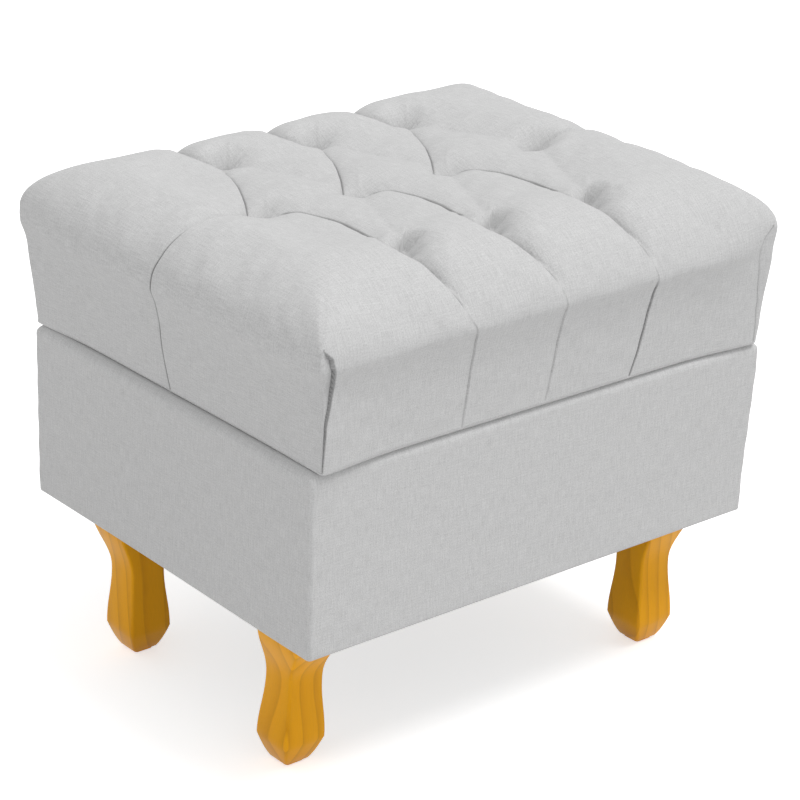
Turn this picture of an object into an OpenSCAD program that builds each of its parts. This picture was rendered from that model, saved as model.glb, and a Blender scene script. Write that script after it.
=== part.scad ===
/* [Overall size] */
// Width of the base box, along X
base_w = 480; // [450:10:560]
// Depth of the base box, along Y
base_d = 390; // [370:10:460]
// Height of the upholstered base box
base_h = 157; // [130:1:200]
// Height of the legs under the base box
leg_h = 141; // [130:1:180]
// Height of the seat cushion at its highest buns
seat_h = 148; // [135:1:175]

/* [Base box] */
// Thickness of the upholstery fabric
cover_t = 1; // [0.8:0.1:1.4]
// Thickness of the foam glued round the base box
pad_t = 7; // [5:0.5:9]
// Thickness of the frame boards
board_t = 15; // [12:1:18]
// Rounding of the fabric at the lower edge of the base
base_low_r = 2.5; // [2:0.1:4]
// Width of the fabric turned in over the top of the frame, from the outer face
flap_w = 21; // [17:1:23]
// Width of the fabric turned in under the frame, from the outer face
hem_w = 30; // [25:1:34]
// Side of the square blocks glued into the frame's corners
block_s = 36; // [28:1:36]
// Width of the cross boards that carry the legs
rail_w = 60; // [54:1:70]
// Thickness of the cross boards
rail_t = 18; // [15:1:22]
// Width of the cleats that hold the seat board, inwards from the frame
cleat_w = 20; // [18:1:26]
// Height of the cleats
cleat_h = 25; // [20:1:32]
// Thickness of the cloth under the base
cloth_t = 0.5; // [0.4:0.1:0.8]
// Distance from the base's outer face to the edge of the cloth under it
cloth_inset = 10; // [9:1:12]

/* [Seat cushion] */
// Inset of the cushion's lower edge from the base at the short sides
seat_inset_x = 8; // [4:1:12]
// Inset of the cushion's lower edge from the base at the long sides
seat_inset_y = 1; // [0:1:3]
// How far the cushion's widest line stands out beyond its lower edge
seat_flare = 11.5; // [6:0.5:14]
// Drop from the cushion's upper edge to its widest line
bead_drop = 44; // [34:1:50]
// Horizontal rounding of the cushion's upper edge
edge_round = 26; // [20:1:32]
// Fall of the crown from the middle of the cushion to its edges
crown_fall = 8; // [4:1:10]
// Thickness of the board under the cushion
seat_board_t = 12; // [10:1:16]
// Width of the fabric turned in under the seat board
seat_hem_w = 28; // [22:1:28]
// Clearance between the cushion's fabric and what it wraps
wrap_gap = 0.3; // [0.2:0.1:0.5]
// Cut across the corners of the seat board
board_cut = 8; // [5:1:12]

/* [Tufting] */
// Tufts in each outer row; the middle row has one more
tuft_n = 3; // [2:1:3]
// Distance between neighbouring tufts in a row
tuft_pitch = 96; // [80:1:100]
// Distance between the rows of tufts
tuft_row = 118; // [100:1:130]
// Depth of the tufts below the crown
tuft_depth = 23; // [14:1:30]
// Depth of the creases halfway between two tufts
crease_depth = 9; // [4:1:11]
// Depth of the grooves where the creases cross the upper edge
edge_groove = 4; // [1:0.5:5]
// Reach of a tuft's pull
tuft_spread = 26; // [20:1:34]
// Diameter of the twine that pulls the tufts down
twine_d = 2; // [1.5:0.1:2.5]
// Length of the twine's end under the seat board
twine_tail = 14; // [10:1:20]
// Distance from the twine's end to the staple that holds it
twine_hold = 5.5; // [4:0.5:6]

/* [Legs] */
// Inset of the legs' axes from the base's short sides
leg_inset_x = 49; // [46:1:56]
// Inset of the legs' axes from the base's long sides
leg_inset_y = 72; // [70:1:90]
// Width of the leg at its neck
leg_neck = 32.6; // [30:0.2:36]
// Height of the neck's middle above the floor
leg_neck_z = 70; // [62:1:74]
// Width of the foot where it is widest
leg_foot = 38.8; // [36:0.2:42]
// Height of the widest part of the foot
leg_foot_z = 24; // [20:1:30]
// Width of the sole
leg_sole = 25; // [20:1:30]
// How far the leg's top flares towards the outside
leg_flare = 12; // [8:1:14]
// Height from the neck's middle to the start of the flare
leg_flare_up = 5; // [2:1:8]
// Height of the flare from its start to its full width
leg_flare_h = 50; // [40:1:52]
// Width of the softened edges of the leg, on each face
leg_soft = 4.5; // [3:0.5:6]

/* [Fasteners] */
// Diameter of the bolts that hold the legs
bolt_d = 8; // [6:1:10]
// Length of the leg bolt inside the leg
bolt_in_leg = 34; // [28:1:40]
// Length of the leg bolt above the cross board
bolt_out = 5; // [3:1:8]
// Diameter of the barrel of the nut in the cross board
nut_d = 11; // [9:0.5:12]
// Diameter of the nut's flange
nut_flange_d = 22; // [18:1:24]
// Thickness of the nut's flange
nut_flange_t = 1.6; // [1.2:0.2:2.4]
// Length of the nut's barrel inside the cross board
nut_h = 11; // [9:0.5:13]
// Running clearance round bolts and nuts, on the radius
bolt_gap = 0.1; // [0.05:0.05:0.2]
// Clearance of the bolts' holes through the cross boards and the cloth, on the radius
pass_gap = 0.5; // [0.3:0.1:1]
// Shank diameter of the wood screws
screw_d = 4; // [3.5:0.5:5]
// Head diameter of the wood screws
screw_head_d = 8; // [7:0.5:9]
// Length of the screws through the frame boards
screw_l = 38; // [34:1:42]
// Length of the screws through the cleats into the seat board
seat_screw_l = 35; // [32:1:38]
// Distance from the cleats' inner edges to their screws
seat_screw_edge = 8; // [7:0.5:9]
// Width of a staple
staple_w = 12; // [10:1:13]
// Length of a staple's legs
staple_l = 8; // [6:1:9]
// Thickness of a staple's wire
staple_wire = 0.8; // [0.6:0.1:0.9]
// Staples along each long side
staples_long = 5; // [4:1:7]
// Staples along each short side
staples_short = 4; // [3:1:6]
// Distance from the base's corners to the first staples
staple_end = 75; // [60:1:90]

/* [Hidden] */

// Clearance round screws and staples, how far a cut runs past what it cuts, and the width of a touch
fit = 0.05;
past = 1;
touch = 0.01;

// Levels, from the floor up
z_cloth = leg_h;
z_hem = z_cloth + cloth_t;
z_frame = z_hem + cover_t;
z_part = leg_h + base_h;
z_frame_top = z_part - cover_t;
z_seat_board = z_part + cover_t;
z_foam = z_seat_board + seat_board_t;
z_bead = z_part + seat_h - crown_fall - bead_drop;

// Depths inwards from the outer face of the base
in_pad = cover_t;
in_board = in_pad + pad_t;
in_room = in_board + board_t;
in_staple = in_board + board_t / 2;

// Half sizes: the base, and the room inside the frame
bx = base_w / 2;
by = base_d / 2;
rx = bx - in_room;
ry = by - in_room;

// Half sizes of the cushion at its lower edge, and of the flat field inside its rounded upper edge
seat_x = bx - seat_inset_x;
seat_y = by - seat_inset_y;
field_x = seat_x + seat_flare - edge_round;
field_y = seat_y + seat_flare - edge_round;

// A corner's reach along both sides, as a share of a square corner's
corner_pull = 0.9;

// Tufts
reach_x = tuft_pitch * tuft_n / 2;
step_x = tuft_pitch / 4;
steps = round(2 * reach_x / step_x);
bun_half = tuft_pitch / 2 * tuft_row / norm([tuft_pitch / 2, tuft_row]);
outer_row = [for (i = [0:tuft_n - 1]) (i - (tuft_n - 1) / 2) * tuft_pitch];
middle_row = [for (i = [0:tuft_n]) (i - tuft_n / 2) * tuft_pitch];
tufts = concat([for (x = outer_row) [x, -tuft_row]], [for (x = middle_row) [x, 0]],
    [for (x = outer_row) [x, tuft_row]]);

// Creases between the tufts, and from the outer tufts to the edges
diagonals = [for (x = outer_row, sx = [-1, 1], sy = [-1, 1])
    [[x, sy * tuft_row], [x + sx * tuft_pitch / 2, 0]]];
to_long_edges = [for (x = outer_row, sy = [-1, 1]) [[x, sy * tuft_row], [x, sy * field_y]]];
to_short_edges = [for (sx = [-1, 1]) [[sx * reach_x, 0], [sx * field_x, 0]]];
creases = concat(diagonals, to_long_edges, to_short_edges);

// Distance from a point to a straight piece of crease
function along(p, a, b) = max(0, min(1, (p - a) * (b - a) / ((b - a) * (b - a))));
function crease_gap(p, c) = norm(p - c[0] - along(p, c[0], c[1]) * (c[1] - c[0]));

// Height of the cushion's top over a point of the field: a low crown with a pillow between the creases
function crown(p) = crown_fall * pow(max(abs(p[0]) / field_x, abs(p[1]) / field_y), 2);
function pillow(t) = t >= 1 ? 0 : 1 - sqrt(1 - pow(1 - t, 2));
function pull(p) = exp(-pow(min([for (t = tufts) norm(p - t)]) / tuft_spread, 2));
function outside(p) = max(0, (abs(p[1]) - tuft_row) / (field_y - tuft_row),
    (abs(p[0]) - reach_x) / (field_x - reach_x));
function depth(p) = crease_depth + (edge_groove - crease_depth) * min(1, outside(p))
    + (tuft_depth - crease_depth) * pull(p);
function dip(p) = depth(p) * pillow(min([for (c = creases) crease_gap(p, c)]) / bun_half);
function top_z(p) = z_part + seat_h - crown(p) - dip(p);

// The field is meshed in rows. Every second row between the tufts is staggered, so that mesh edges lie
// along the diagonal creases.
row_y = concat([-field_y, -(field_y + tuft_row) / 2], [for (i = [-4:4]) tuft_row * i / 4],
    [(field_y + tuft_row) / 2, field_y]);
rows = len(row_y);
function staggered(j) = j > 2 && j < rows - 3 && j % 2 == 1;
function between(t) = reach_x + (field_x - reach_x) * t;
function even_row() = concat([-field_x, -between(0.5)], [for (i = [0:steps]) i * step_x - reach_x],
    [between(0.5), field_x]);
function odd_row() = concat([-field_x, -between(0.75), -between(0.25)],
    [for (i = [0:steps - 1]) (i + 0.5) * step_x - reach_x], [between(0.25), between(0.75), field_x]);
even_n = len(even_row());
function row_n(j) = staggered(j) ? even_n + 1 : even_n;
function row_start(j) = j == 0 ? 0 : row_start(j - 1) + row_n(j - 1);
starts = [for (j = [0:rows]) row_start(j)];
field = [for (j = [0:rows - 1]) for (x = staggered(j) ? odd_row() : even_row()) [x, row_y[j]]];

// Two rows of mesh points a and b, with na and nb points each, stitched into triangles that face up
function strip(a, na, b, nb) = concat(
    [for (i = [0:min(na, nb) - 2]) na > nb ? [a + i + 1, b + i + 1, b + i] : [a + i, a + i + 1, b + i + 1]],
    na == nb ? [for (i = [0:na - 2]) [a + i, b + i + 1, b + i]] : [],
    na > nb ? [for (i = [0:nb - 1]) [a + i, a + i + 1, b + i]] : [],
    na < nb ? [for (i = [0:na - 1]) [a + i, b + i + 1, b + i]] : []);
field_faces = [for (j = [0:rows - 2]) each strip(starts[j], row_n(j), starts[j + 1], row_n(j + 1))];

// The field's rim, anticlockwise seen from above: index, outward direction
rim = concat(
    [for (i = [0:even_n - 1]) [i, [i == 0 ? -1 : i == even_n - 1 ? 1 : 0, -1]]],
    [for (j = [1:rows - 2]) [starts[j + 1] - 1, [1, 0]]],
    [for (i = [even_n - 1:-1:0]) [starts[rows - 1] + i, [i == 0 ? -1 : i == even_n - 1 ? 1 : 0, 1]]],
    [for (j = [rows - 2:-1:1]) [starts[j], [-1, 0]]]);
rim_n = len(rim);
function way(r) = abs(r[1][0]) + abs(r[1][1]) == 2 ? corner_pull * r[1] : r[1];
function on_crease(p) = min([for (c = creases) crease_gap(p, c)]) < touch;

// Side of the cushion, drawn in by t: [how far out from the field, height, share of the groove] at each
// ring. The first rings turn over the upper edge, by their angles, and the others follow the side's curve.
bend = [60, 28, 0];
side_curve = 1.6;
groove_at_bead = 0.4;
function side_out(u) = edge_round - seat_flare * (1 - pow(u, side_curve));
function side_rings(t, edge_z, low) = concat(
    [for (a = bend) [(edge_round - t) * cos(a), z_bead + (edge_z - z_bead) * sin(a),
        groove_at_bead + (1 - groove_at_bead) * sin(a)]],
    [for (u = [(1 + low) / 2, low]) [side_out(u) - t, z_part + (z_bead - z_part) * u, groove_at_bead * u]]);
rings = len(bend) + 2;
function side_point(r, k, t, low) = let (p = field[r[0]])
    let (s = side_rings(t, top_z(p) - t, low)[k])
    let (out = s[0] - (on_crease(p) ? edge_groove * s[2] : 0))
    [p[0] + out * way(r)[0], p[1] + out * way(r)[1], max(s[1], low == 0 ? z_part + t : s[1])];

// Points of the cushion's surface drawn in by t: the field, then the rings of its sides down to low
function skin(t, low) = concat([for (p = field) [p[0], p[1], top_z(p) - t]],
    [for (k = [0:rings - 1]) for (r = rim) side_point(r, k, t, low)]);
field_n = len(field);
skin_n = field_n + rings * rim_n;
function ring_at(k, i) = k < 0 ? rim[i % rim_n][0] : field_n + k * rim_n + i % rim_n;
function band(k, i) = [[ring_at(k, i), ring_at(k + 1, i), ring_at(k + 1, i + 1)],
    [ring_at(k, i), ring_at(k + 1, i + 1), ring_at(k, i + 1)]];
skin_faces = concat(field_faces, [for (k = [-1:rings - 2]) for (i = [0:rim_n - 1]) each band(k, i)]);

// Faces turned the other way round, which is clockwise seen from outside
function turned(faces) = [for (f = faces) [f[2], f[1], f[0]]];
function shifted(faces, n) = [for (f = faces) [f[0] + n, f[1] + n, f[2] + n]];
function loop_band(a, b, n) = [for (i = [0:n - 1]) each [[a + i, b + i, b + (i + 1) % n],
    [a + i, b + (i + 1) % n, a + (i + 1) % n]]];

// Sides of the base and the corners of its plan, front left first
SIDES = ["front", "back", "left", "right"];
corners = [[-1, -1], [1, -1], [-1, 1], [1, 1]];
leg_x = bx - leg_inset_x;
leg_y = by - leg_inset_y;

function long(s) = s == "front" || s == "back";
function half_run(s) = long(s) ? bx : by;

// Moves a piece drawn for the front, with X along the side and Y inwards from 0, to side s
module side(s) {
    mirror([s == "right" ? 1 : 0, s == "back" ? 1 : 0, 0])
        translate(long(s) ? [0, -by, 0] : [-bx, 0, 0])
            rotate(long(s) ? 0 : -90)
                children();
}

// Half width of a leg at height z. The two faces towards the outside also have the flare.
leg_steps = 22;
foot_curve = 0.8;
function blend(t) = (1 - cos(180 * max(0, min(1, t)))) / 2;
function leg_in(z) = z < leg_foot_z
    ? leg_sole / 2 + (leg_foot - leg_sole) / 2 * pow(sin(90 * z / leg_foot_z), foot_curve)
    : leg_foot / 2 - (leg_foot - leg_neck) / 2 * blend((z - leg_foot_z) / (leg_neck_z - leg_foot_z));
function leg_out(z) = leg_in(z) + leg_flare * blend((z - leg_neck_z - leg_flare_up) / leg_flare_h);
flat_out = function(z) leg_out(z);
flat_in = function(z) leg_in(z);
soft_out = function(z) (2 * leg_out(z) - leg_soft) / sqrt(2);
soft_in = function(z) (2 * leg_in(z) - leg_soft) / sqrt(2);
soft_mixed = function(z) (leg_out(z) + leg_in(z) - leg_soft) / sqrt(2);
leg_zs = [for (i = [0:leg_steps]) leg_h * i / leg_steps];
leg_down = [for (i = [leg_steps:-1:0]) leg_zs[i]];

// A leg's outline in X and Z with half widths a and b to the left and right, cut through its stock
module leg_cut(a, b, turn) {
    stock = 4 * (leg_foot + leg_flare);
    points = concat([for (z = leg_down) [-a(z), z]], [for (z = leg_zs) [b(z), z]]);
    rotate([90, 0, turn])
        translate([0, 0, -stock / 2])
            linear_extrude(stock) polygon(points);
}

module leg(c) {
    color("goldenrod")
        difference() {
            translate([c[0] * leg_x, c[1] * leg_y, 0])
                mirror([c[0] > 0 ? 1 : 0, 0, 0])
                    mirror([0, c[1] > 0 ? 1 : 0, 0])
                        intersection() {
                            leg_cut(flat_out, flat_in, 0);
                            leg_cut(flat_out, flat_in, 90);
                            leg_cut(soft_out, soft_in, 45);
                            leg_cut(soft_mixed, soft_mixed, -45);
                        }
            translate([c[0] * leg_x, c[1] * leg_y, leg_h - bolt_in_leg])
                cylinder(d = bolt_d + 2 * bolt_gap, h = bolt_in_leg + past, $fn = 32);
        }
}

module leg_front_left() leg(corners[0]);
module leg_front_right() leg(corners[1]);
module leg_back_left() leg(corners[2]);
module leg_back_right() leg(corners[3]);

module leg_bolts() {
    color("silver")
        for (c = corners)
            translate([c[0] * leg_x, c[1] * leg_y, leg_h - bolt_in_leg])
                cylinder(d = bolt_d, h = bolt_in_leg + z_frame - z_cloth + rail_t + bolt_out, $fn = 32);
}

// A flanged nut pressed into the cross board from above
module tee_nuts() {
    color("silver")
        for (c = corners)
            translate([c[0] * leg_x, c[1] * leg_y, z_frame + rail_t])
                difference() {
                    union() {
                        cylinder(d = nut_flange_d, h = nut_flange_t, $fn = 32);
                        translate([0, 0, -nut_h])
                            cylinder(d = nut_d, h = nut_h + nut_flange_t / 2, $fn = 32);
                    }
                    translate([0, 0, -nut_h - past])
                        cylinder(d = bolt_d + 2 * bolt_gap, h = nut_h + nut_flange_t + 2 * past, $fn = 32);
                }
}

// A countersunk wood screw pointing up from its head, larger all round by slack
module screw(l, slack) {
    head_h = (screw_head_d - screw_d) / 2;
    r = screw_d / 2 + slack;
    rotate_extrude($fn = 32)
        polygon([[0, 0], [screw_head_d / 2 + slack, 0], [r, head_h], [r, l - screw_d], [0, l + slack]]);
}

// Screws through the frame board of side s, into the corner blocks and the ends of the cross boards. In a
// block, the screws of its two sides pass each other at different shares of its height.
block_h = z_frame_top - z_frame - rail_t;
rail_places = [-(rx - rail_w / 2), 0, rx - rail_w / 2];
long_screws_at = [0.25, 0.75];
short_screws_at = [0.4, 0.9];
module screws_of(s, slack) {
    ends = half_run(s) - in_room - block_s / 2;
    for (x = [-ends, ends], t = long(s) ? long_screws_at : short_screws_at)
        translate([x, in_board, z_frame + rail_t + block_h * t])
            rotate([-90, 0, 0]) screw(screw_l, slack);
    if (long(s))
        for (x = rail_places)
            translate([x, in_board, z_frame + rail_t / 2])
                rotate([-90, 0, 0]) screw(screw_l, slack);
}

module frame_screws() {
    color("gold")
        for (s = SIDES) side(s) screws_of(s, 0);
}

// A staple pointing up, its crown along X with its outer face at zero, larger all round by slack
module staple(slack) {
    w = staple_w / 2 + slack;
    i = staple_w / 2 - staple_wire - slack;
    tip = staple_wire + staple_l + slack;
    bar = staple_wire + slack;
    rotate([90, 0, 0])
        translate([0, 0, -staple_wire / 2 - slack])
            linear_extrude(staple_wire + 2 * slack)
                polygon([[-w, -slack], [w, -slack], [w, tip], [i, tip], [i, bar], [-i, bar], [-i, tip],
                    [-w, tip]]);
}

// Places along side s where its fabric is stapled to the frame
function staple_count(s) = long(s) ? staples_long : staples_short;
function staple_runs(s) = let (n = staple_count(s), reach = half_run(s) - staple_end)
    [for (i = [0:n - 1]) reach * (2 * i / (n - 1) - 1)];

module top_staples(s, slack) {
    for (x = staple_runs(s))
        translate([x, in_staple, z_part])
            rotate([180, 0, 0]) staple(slack);
}

module low_staples(s, slack) {
    for (x = staple_runs(s))
        translate([x, in_staple, z_cloth - staple_wire]) staple(slack);
}

module cover_staples() {
    color("silver")
        for (s = SIDES) side(s) top_staples(s, 0);
}

module cloth_staples() {
    color("silver")
        for (s = SIDES) side(s) low_staples(s, 0);
}

// Frame board of side s. The long boards run past the ends of the short ones.
module frame_board(s) {
    half = long(s) ? bx - in_board : ry;
    color("burlywood")
        side(s)
            difference() {
                translate([-half, in_board, z_frame]) cube([2 * half, board_t, z_frame_top - z_frame]);
                screws_of(s, fit);
                top_staples(s, fit);
                low_staples(s, fit);
            }
}

module frame_front() frame_board("front");
module frame_back() frame_board("back");
module frame_left() frame_board("left");
module frame_right() frame_board("right");

block_x = rx - block_s / 2;
block_y = ry - block_s / 2;
module corner_blocks() {
    color("tan")
        difference() {
            for (c = corners)
                translate([c[0] * block_x, c[1] * block_y, z_frame + rail_t + block_h / 2])
                    cube([block_s, block_s, block_h], center = true);
            for (s = SIDES) side(s) screws_of(s, fit);
        }
}

// Cross board at x between the long frame boards
module cross_board(x) {
    color("burlywood")
        difference() {
            translate([x - rail_w / 2, -ry, z_frame]) cube([rail_w, 2 * ry, rail_t]);
            for (s = ["front", "back"]) side(s) screws_of(s, fit);
            for (c = corners) {
                translate([c[0] * leg_x, c[1] * leg_y, z_frame - past])
                    cylinder(d = bolt_d + 2 * pass_gap, h = rail_t + 2 * past, $fn = 32);
                translate([c[0] * leg_x, c[1] * leg_y, z_frame + rail_t - nut_h])
                    cylinder(d = nut_d + 2 * bolt_gap, h = nut_h + past, $fn = 32);
            }
        }
}

module leg_rail_left() cross_board(rail_places[0]);
module centre_brace() cross_board(rail_places[1]);
module leg_rail_right() cross_board(rail_places[2]);

// Screws up through the cleats into the seat board
cleat_run = rx - block_s;
seat_screw_in = in_room + cleat_w - seat_screw_edge;
seat_screw_at = [-0.75, 0, 0.75];
module seat_screws_of(s, slack) {
    for (t = seat_screw_at)
        translate([cleat_run * t, seat_screw_in, z_part - cleat_h]) screw(seat_screw_l, slack);
}

module seat_screws() {
    color("gold")
        for (s = ["front", "back"]) side(s) seat_screws_of(s, 0);
}

module cleat(s) {
    color("tan")
        side(s)
            difference() {
                translate([-cleat_run, in_room, z_part - cleat_h]) cube([2 * cleat_run, cleat_w, cleat_h]);
                seat_screws_of(s, fit);
            }
}

module cleat_front() cleat("front");
module cleat_back() cleat("back");

// Section of the upholstered wall, with X inwards and Y up: a quarter turn over the top of the foam
// and a smaller one under its lower edge
over_r = cover_t + pad_t;
arc_steps = 6;
function arc(cx, cy, r, from, to) = [for (i = [0:arc_steps]) let (a = from + (to - from) * i / arc_steps)
    [cx + r * cos(a), cy + r * sin(a)]];
function wall_skin(t) = concat(
    arc(base_low_r, z_hem + base_low_r, base_low_r - t, 270, 180),
    arc(over_r, z_part - over_r, over_r - t, 180, 90));
wall_fabric = concat([[hem_w, z_hem]], wall_skin(0), [[flap_w, z_part], [flap_w, z_part - cover_t]],
    [for (i = [len(wall_skin(0)) - 1:-1:0]) wall_skin(cover_t)[i]], [[hem_w, z_frame]]);
wall_foam = concat([[in_board, z_frame]], wall_skin(cover_t));

// A section run along side s and mitred at both corners of the base
module mitred(s, section) {
    half = half_run(s);
    m = hem_w + past;
    side(s)
        intersection() {
            rotate([90, 0, 90])
                translate([0, 0, -half])
                    linear_extrude(2 * half) polygon(section);
            linear_extrude(z_part + past)
                polygon([[-half - past, -past], [half + past, -past], [half - m, m], [m - half, m]]);
        }
}

module base_pad(s) {
    color("khaki") mitred(s, wall_foam);
}

module base_pad_front() base_pad("front");
module base_pad_back() base_pad("back");
module base_pad_left() base_pad("left");
module base_pad_right() base_pad("right");

module base_cover(s) {
    color("lightgray")
        difference() {
            mitred(s, wall_fabric);
            side(s) top_staples(s, fit);
            side(s) low_staples(s, fit);
        }
}

module base_cover_front() base_cover("front");
module base_cover_back() base_cover("back");
module base_cover_left() base_cover("left");
module base_cover_right() base_cover("right");

module bottom_cloth() {
    color("dimgray")
        difference() {
            translate([cloth_inset - bx, cloth_inset - by, z_cloth])
                cube([2 * (bx - cloth_inset), 2 * (by - cloth_inset), cloth_t]);
            for (s = SIDES) side(s) low_staples(s, fit);
            for (c = corners)
                translate([c[0] * leg_x, c[1] * leg_y, z_cloth - past])
                    cylinder(d = bolt_d + 2 * pass_gap, h = cloth_t + 2 * past, $fn = 32);
        }
}

// Staples that hold the ends of the tufting twines under the seat board
module twine_staples_at(slack) {
    for (t = tufts)
        translate([t[0] + twine_tail - twine_hold, t[1], z_seat_board - twine_d - staple_wire])
            rotate(90) staple(slack);
}

module twine_staples() {
    color("silver") twine_staples_at(0);
}

// Board under the cushion, with its corners cut so that it fits inside the fabric
board_x = seat_x - cover_t - wrap_gap;
board_y = seat_y - cover_t - wrap_gap;
module seat_board() {
    color("burlywood")
        difference() {
            translate([0, 0, z_seat_board])
                linear_extrude(seat_board_t)
                    polygon([[board_cut - board_x, -board_y], [board_x - board_cut, -board_y],
                        [board_x, board_cut - board_y], [board_x, board_y - board_cut],
                        [board_x - board_cut, board_y], [board_cut - board_x, board_y],
                        [-board_x, board_y - board_cut], [-board_x, board_cut - board_y]]);
            for (t = tufts)
                translate([t[0], t[1], z_seat_board - past])
                    cylinder(d = twine_d + 2 * bolt_gap, h = seat_board_t + 2 * past, $fn = 24);
            for (s = ["front", "back"]) side(s) seat_screws_of(s, fit);
            twine_staples_at(fit);
        }
}

// Each twine hangs from its tuft and turns under the seat board
module tuft_twines() {
    z_twine = z_seat_board - twine_d / 2;
    color("white")
        for (t = tufts)
            translate([t[0], t[1], z_twine]) {
                cylinder(d = twine_d, h = top_z(t) - cover_t - wrap_gap - z_twine, $fn = 24);
                sphere(d = twine_d, $fn = 24);
                rotate([0, 90, 0]) cylinder(d = twine_d, h = twine_tail, $fn = 24);
            }
}

// Crowned and tufted foam on the seat board
foam_low = (z_foam - z_part) / (z_bead - z_part);
module seat_foam() {
    points = concat(skin(cover_t + wrap_gap, foam_low), [[0, 0, z_foam]]);
    cap = [for (i = [0:rim_n - 1]) [ring_at(rings - 1, i), skin_n, ring_at(rings - 1, i + 1)]];
    color("lemonchiffon")
        difference() {
            polyhedron(points, turned(concat(skin_faces, cap)));
            for (t = tufts)
                translate([t[0], t[1], z_foam - past])
                    cylinder(d = twine_d + 2 * bolt_gap, h = seat_h, $fn = 24);
        }
}

// Fabric over the foam, turned in under the seat board
function hem_ring(z) = [for (r = rim) let (p = field[r[0]], w = side_out(0) - seat_hem_w)
    [p[0] + w * r[1][0], p[1] + w * r[1][1], z]];
module seat_cover() {
    points = concat(skin(0, 0), skin(cover_t, 0), hem_ring(z_part), hem_ring(z_seat_board));
    low_ring = ring_at(rings - 1, 0);
    hem = 2 * skin_n;
    faces = concat(skin_faces, loop_band(low_ring, hem, rim_n), loop_band(hem, hem + rim_n, rim_n),
        loop_band(hem + rim_n, low_ring + skin_n, rim_n), turned(shifted(skin_faces, skin_n)));
    color("lightgray") polyhedron(points, turned(faces));
}

leg_front_left();
leg_front_right();
leg_back_left();
leg_back_right();
leg_bolts();
tee_nuts();
frame_front();
frame_back();
frame_left();
frame_right();
corner_blocks();
leg_rail_left();
leg_rail_right();
centre_brace();
cleat_front();
cleat_back();
frame_screws();
base_pad_front();
base_pad_back();
base_pad_left();
base_pad_right();
base_cover_front();
base_cover_back();
base_cover_left();
base_cover_right();
cover_staples();
bottom_cloth();
cloth_staples();
seat_board();
seat_screws();
seat_foam();
seat_cover();
tuft_twines();
twine_staples();
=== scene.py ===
import math
from collections import namedtuple

import bmesh
import bpy
import numpy as np
from mathutils import Euler, Matrix, Vector


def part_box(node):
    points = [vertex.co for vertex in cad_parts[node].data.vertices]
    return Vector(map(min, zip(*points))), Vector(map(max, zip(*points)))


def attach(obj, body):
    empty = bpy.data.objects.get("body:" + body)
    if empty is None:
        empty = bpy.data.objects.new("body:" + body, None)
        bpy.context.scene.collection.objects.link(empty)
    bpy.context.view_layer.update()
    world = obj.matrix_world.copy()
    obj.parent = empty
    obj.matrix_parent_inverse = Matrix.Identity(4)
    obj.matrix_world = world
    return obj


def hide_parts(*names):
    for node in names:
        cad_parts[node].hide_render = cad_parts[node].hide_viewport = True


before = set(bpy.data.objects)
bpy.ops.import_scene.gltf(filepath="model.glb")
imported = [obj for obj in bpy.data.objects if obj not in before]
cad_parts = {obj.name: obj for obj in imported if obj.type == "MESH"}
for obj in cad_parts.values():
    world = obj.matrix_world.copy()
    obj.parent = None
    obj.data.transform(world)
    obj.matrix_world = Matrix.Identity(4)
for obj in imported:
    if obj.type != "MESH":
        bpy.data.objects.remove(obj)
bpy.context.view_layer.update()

# Sizes are in metres, X along the long side, the front towards minus Y, and the floor at zero.

# Camera of the photograph
CAMERA_PLACE = (-1.4403, -1.7360, 1.1952)
CAMERA_TURN, CAMERA_DIP, CAMERA_ROLL = 39.84, 23.05, 1.66
CAMERA_LENS, CAMERA_SENSOR = 127.26, 36

# The base box, from its covers
BASE_X, BASE_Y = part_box("base_cover_right")[1].x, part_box("base_cover_back")[1].y
HEM_Z, PART_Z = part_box("base_cover_front")[0].z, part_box("base_cover_front")[1].z
# Its cloth and the foam under it, the cloth's flap on top and its hem below, and its bends
CLOTH, PAD = 0.001, 0.007
FLAP, HEM = 0.021, 0.030
TOP_BEND, LOW_BEND, CORNER_BEND = CLOTH + PAD, 0.0025, 0.0020

# The cushion, from its cover and the board inside it
SEAT_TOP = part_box("seat_cover")[1].z
SEAT_X, SEAT_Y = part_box("seat_cover")[1].x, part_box("seat_cover")[1].y
BOARD_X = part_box("seat_board")[1].x
BOARD_LOW, BOARD_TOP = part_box("seat_board")[0].z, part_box("seat_board")[1].z
# The tufted field ends this far inside the cover, and the side's lower edge stands this far outside it
RIM = 0.026
FIELD_X, FIELD_Y = SEAT_X - RIM, SEAT_Y - RIM
LOW_OUT = BOARD_X + 0.0013 - FIELD_X
# Height of the upper edge, and how far in the shoulder starts at the long and at the short sides
EDGE_Z = 0.390
REACH_Y, REACH_X = 0.078, 0.070
# The bend at the lower edge, the hem inside it and its gap from the board, the corners' rounding in plan,
# and how far the upper edge bulges between its corners
LOW_TURN, SEAT_HEM, BOARD_GAP = 0.003, 0.028, 0.00015
PLAN_BEND, BULGE = 0.004, 0.0045
# How much each corner stands out in X and in Y, by the signs of its place, and how much of that it loses
# at its upper edge, over SOFT_REACH down from it
STOUT = {(-1, -1): (0.0015, 0.0060), (1, -1): (0.0065, 0.0065),
         (-1, 1): (0.0050, 0.0035), (1, 1): (0.0030, 0.0030)}
SOFT_EDGE = {(-1, -1): 0.0, (1, -1): 0.0058, (-1, 1): 0.0028, (1, 1): 0.0020}
SOFT_REACH = 0.0115
# How far the upper edge rolls out past the side, and how far down from the edge it does
EDGE_ROLL, ROLL_REACH = 0.0046, 0.0105

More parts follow.
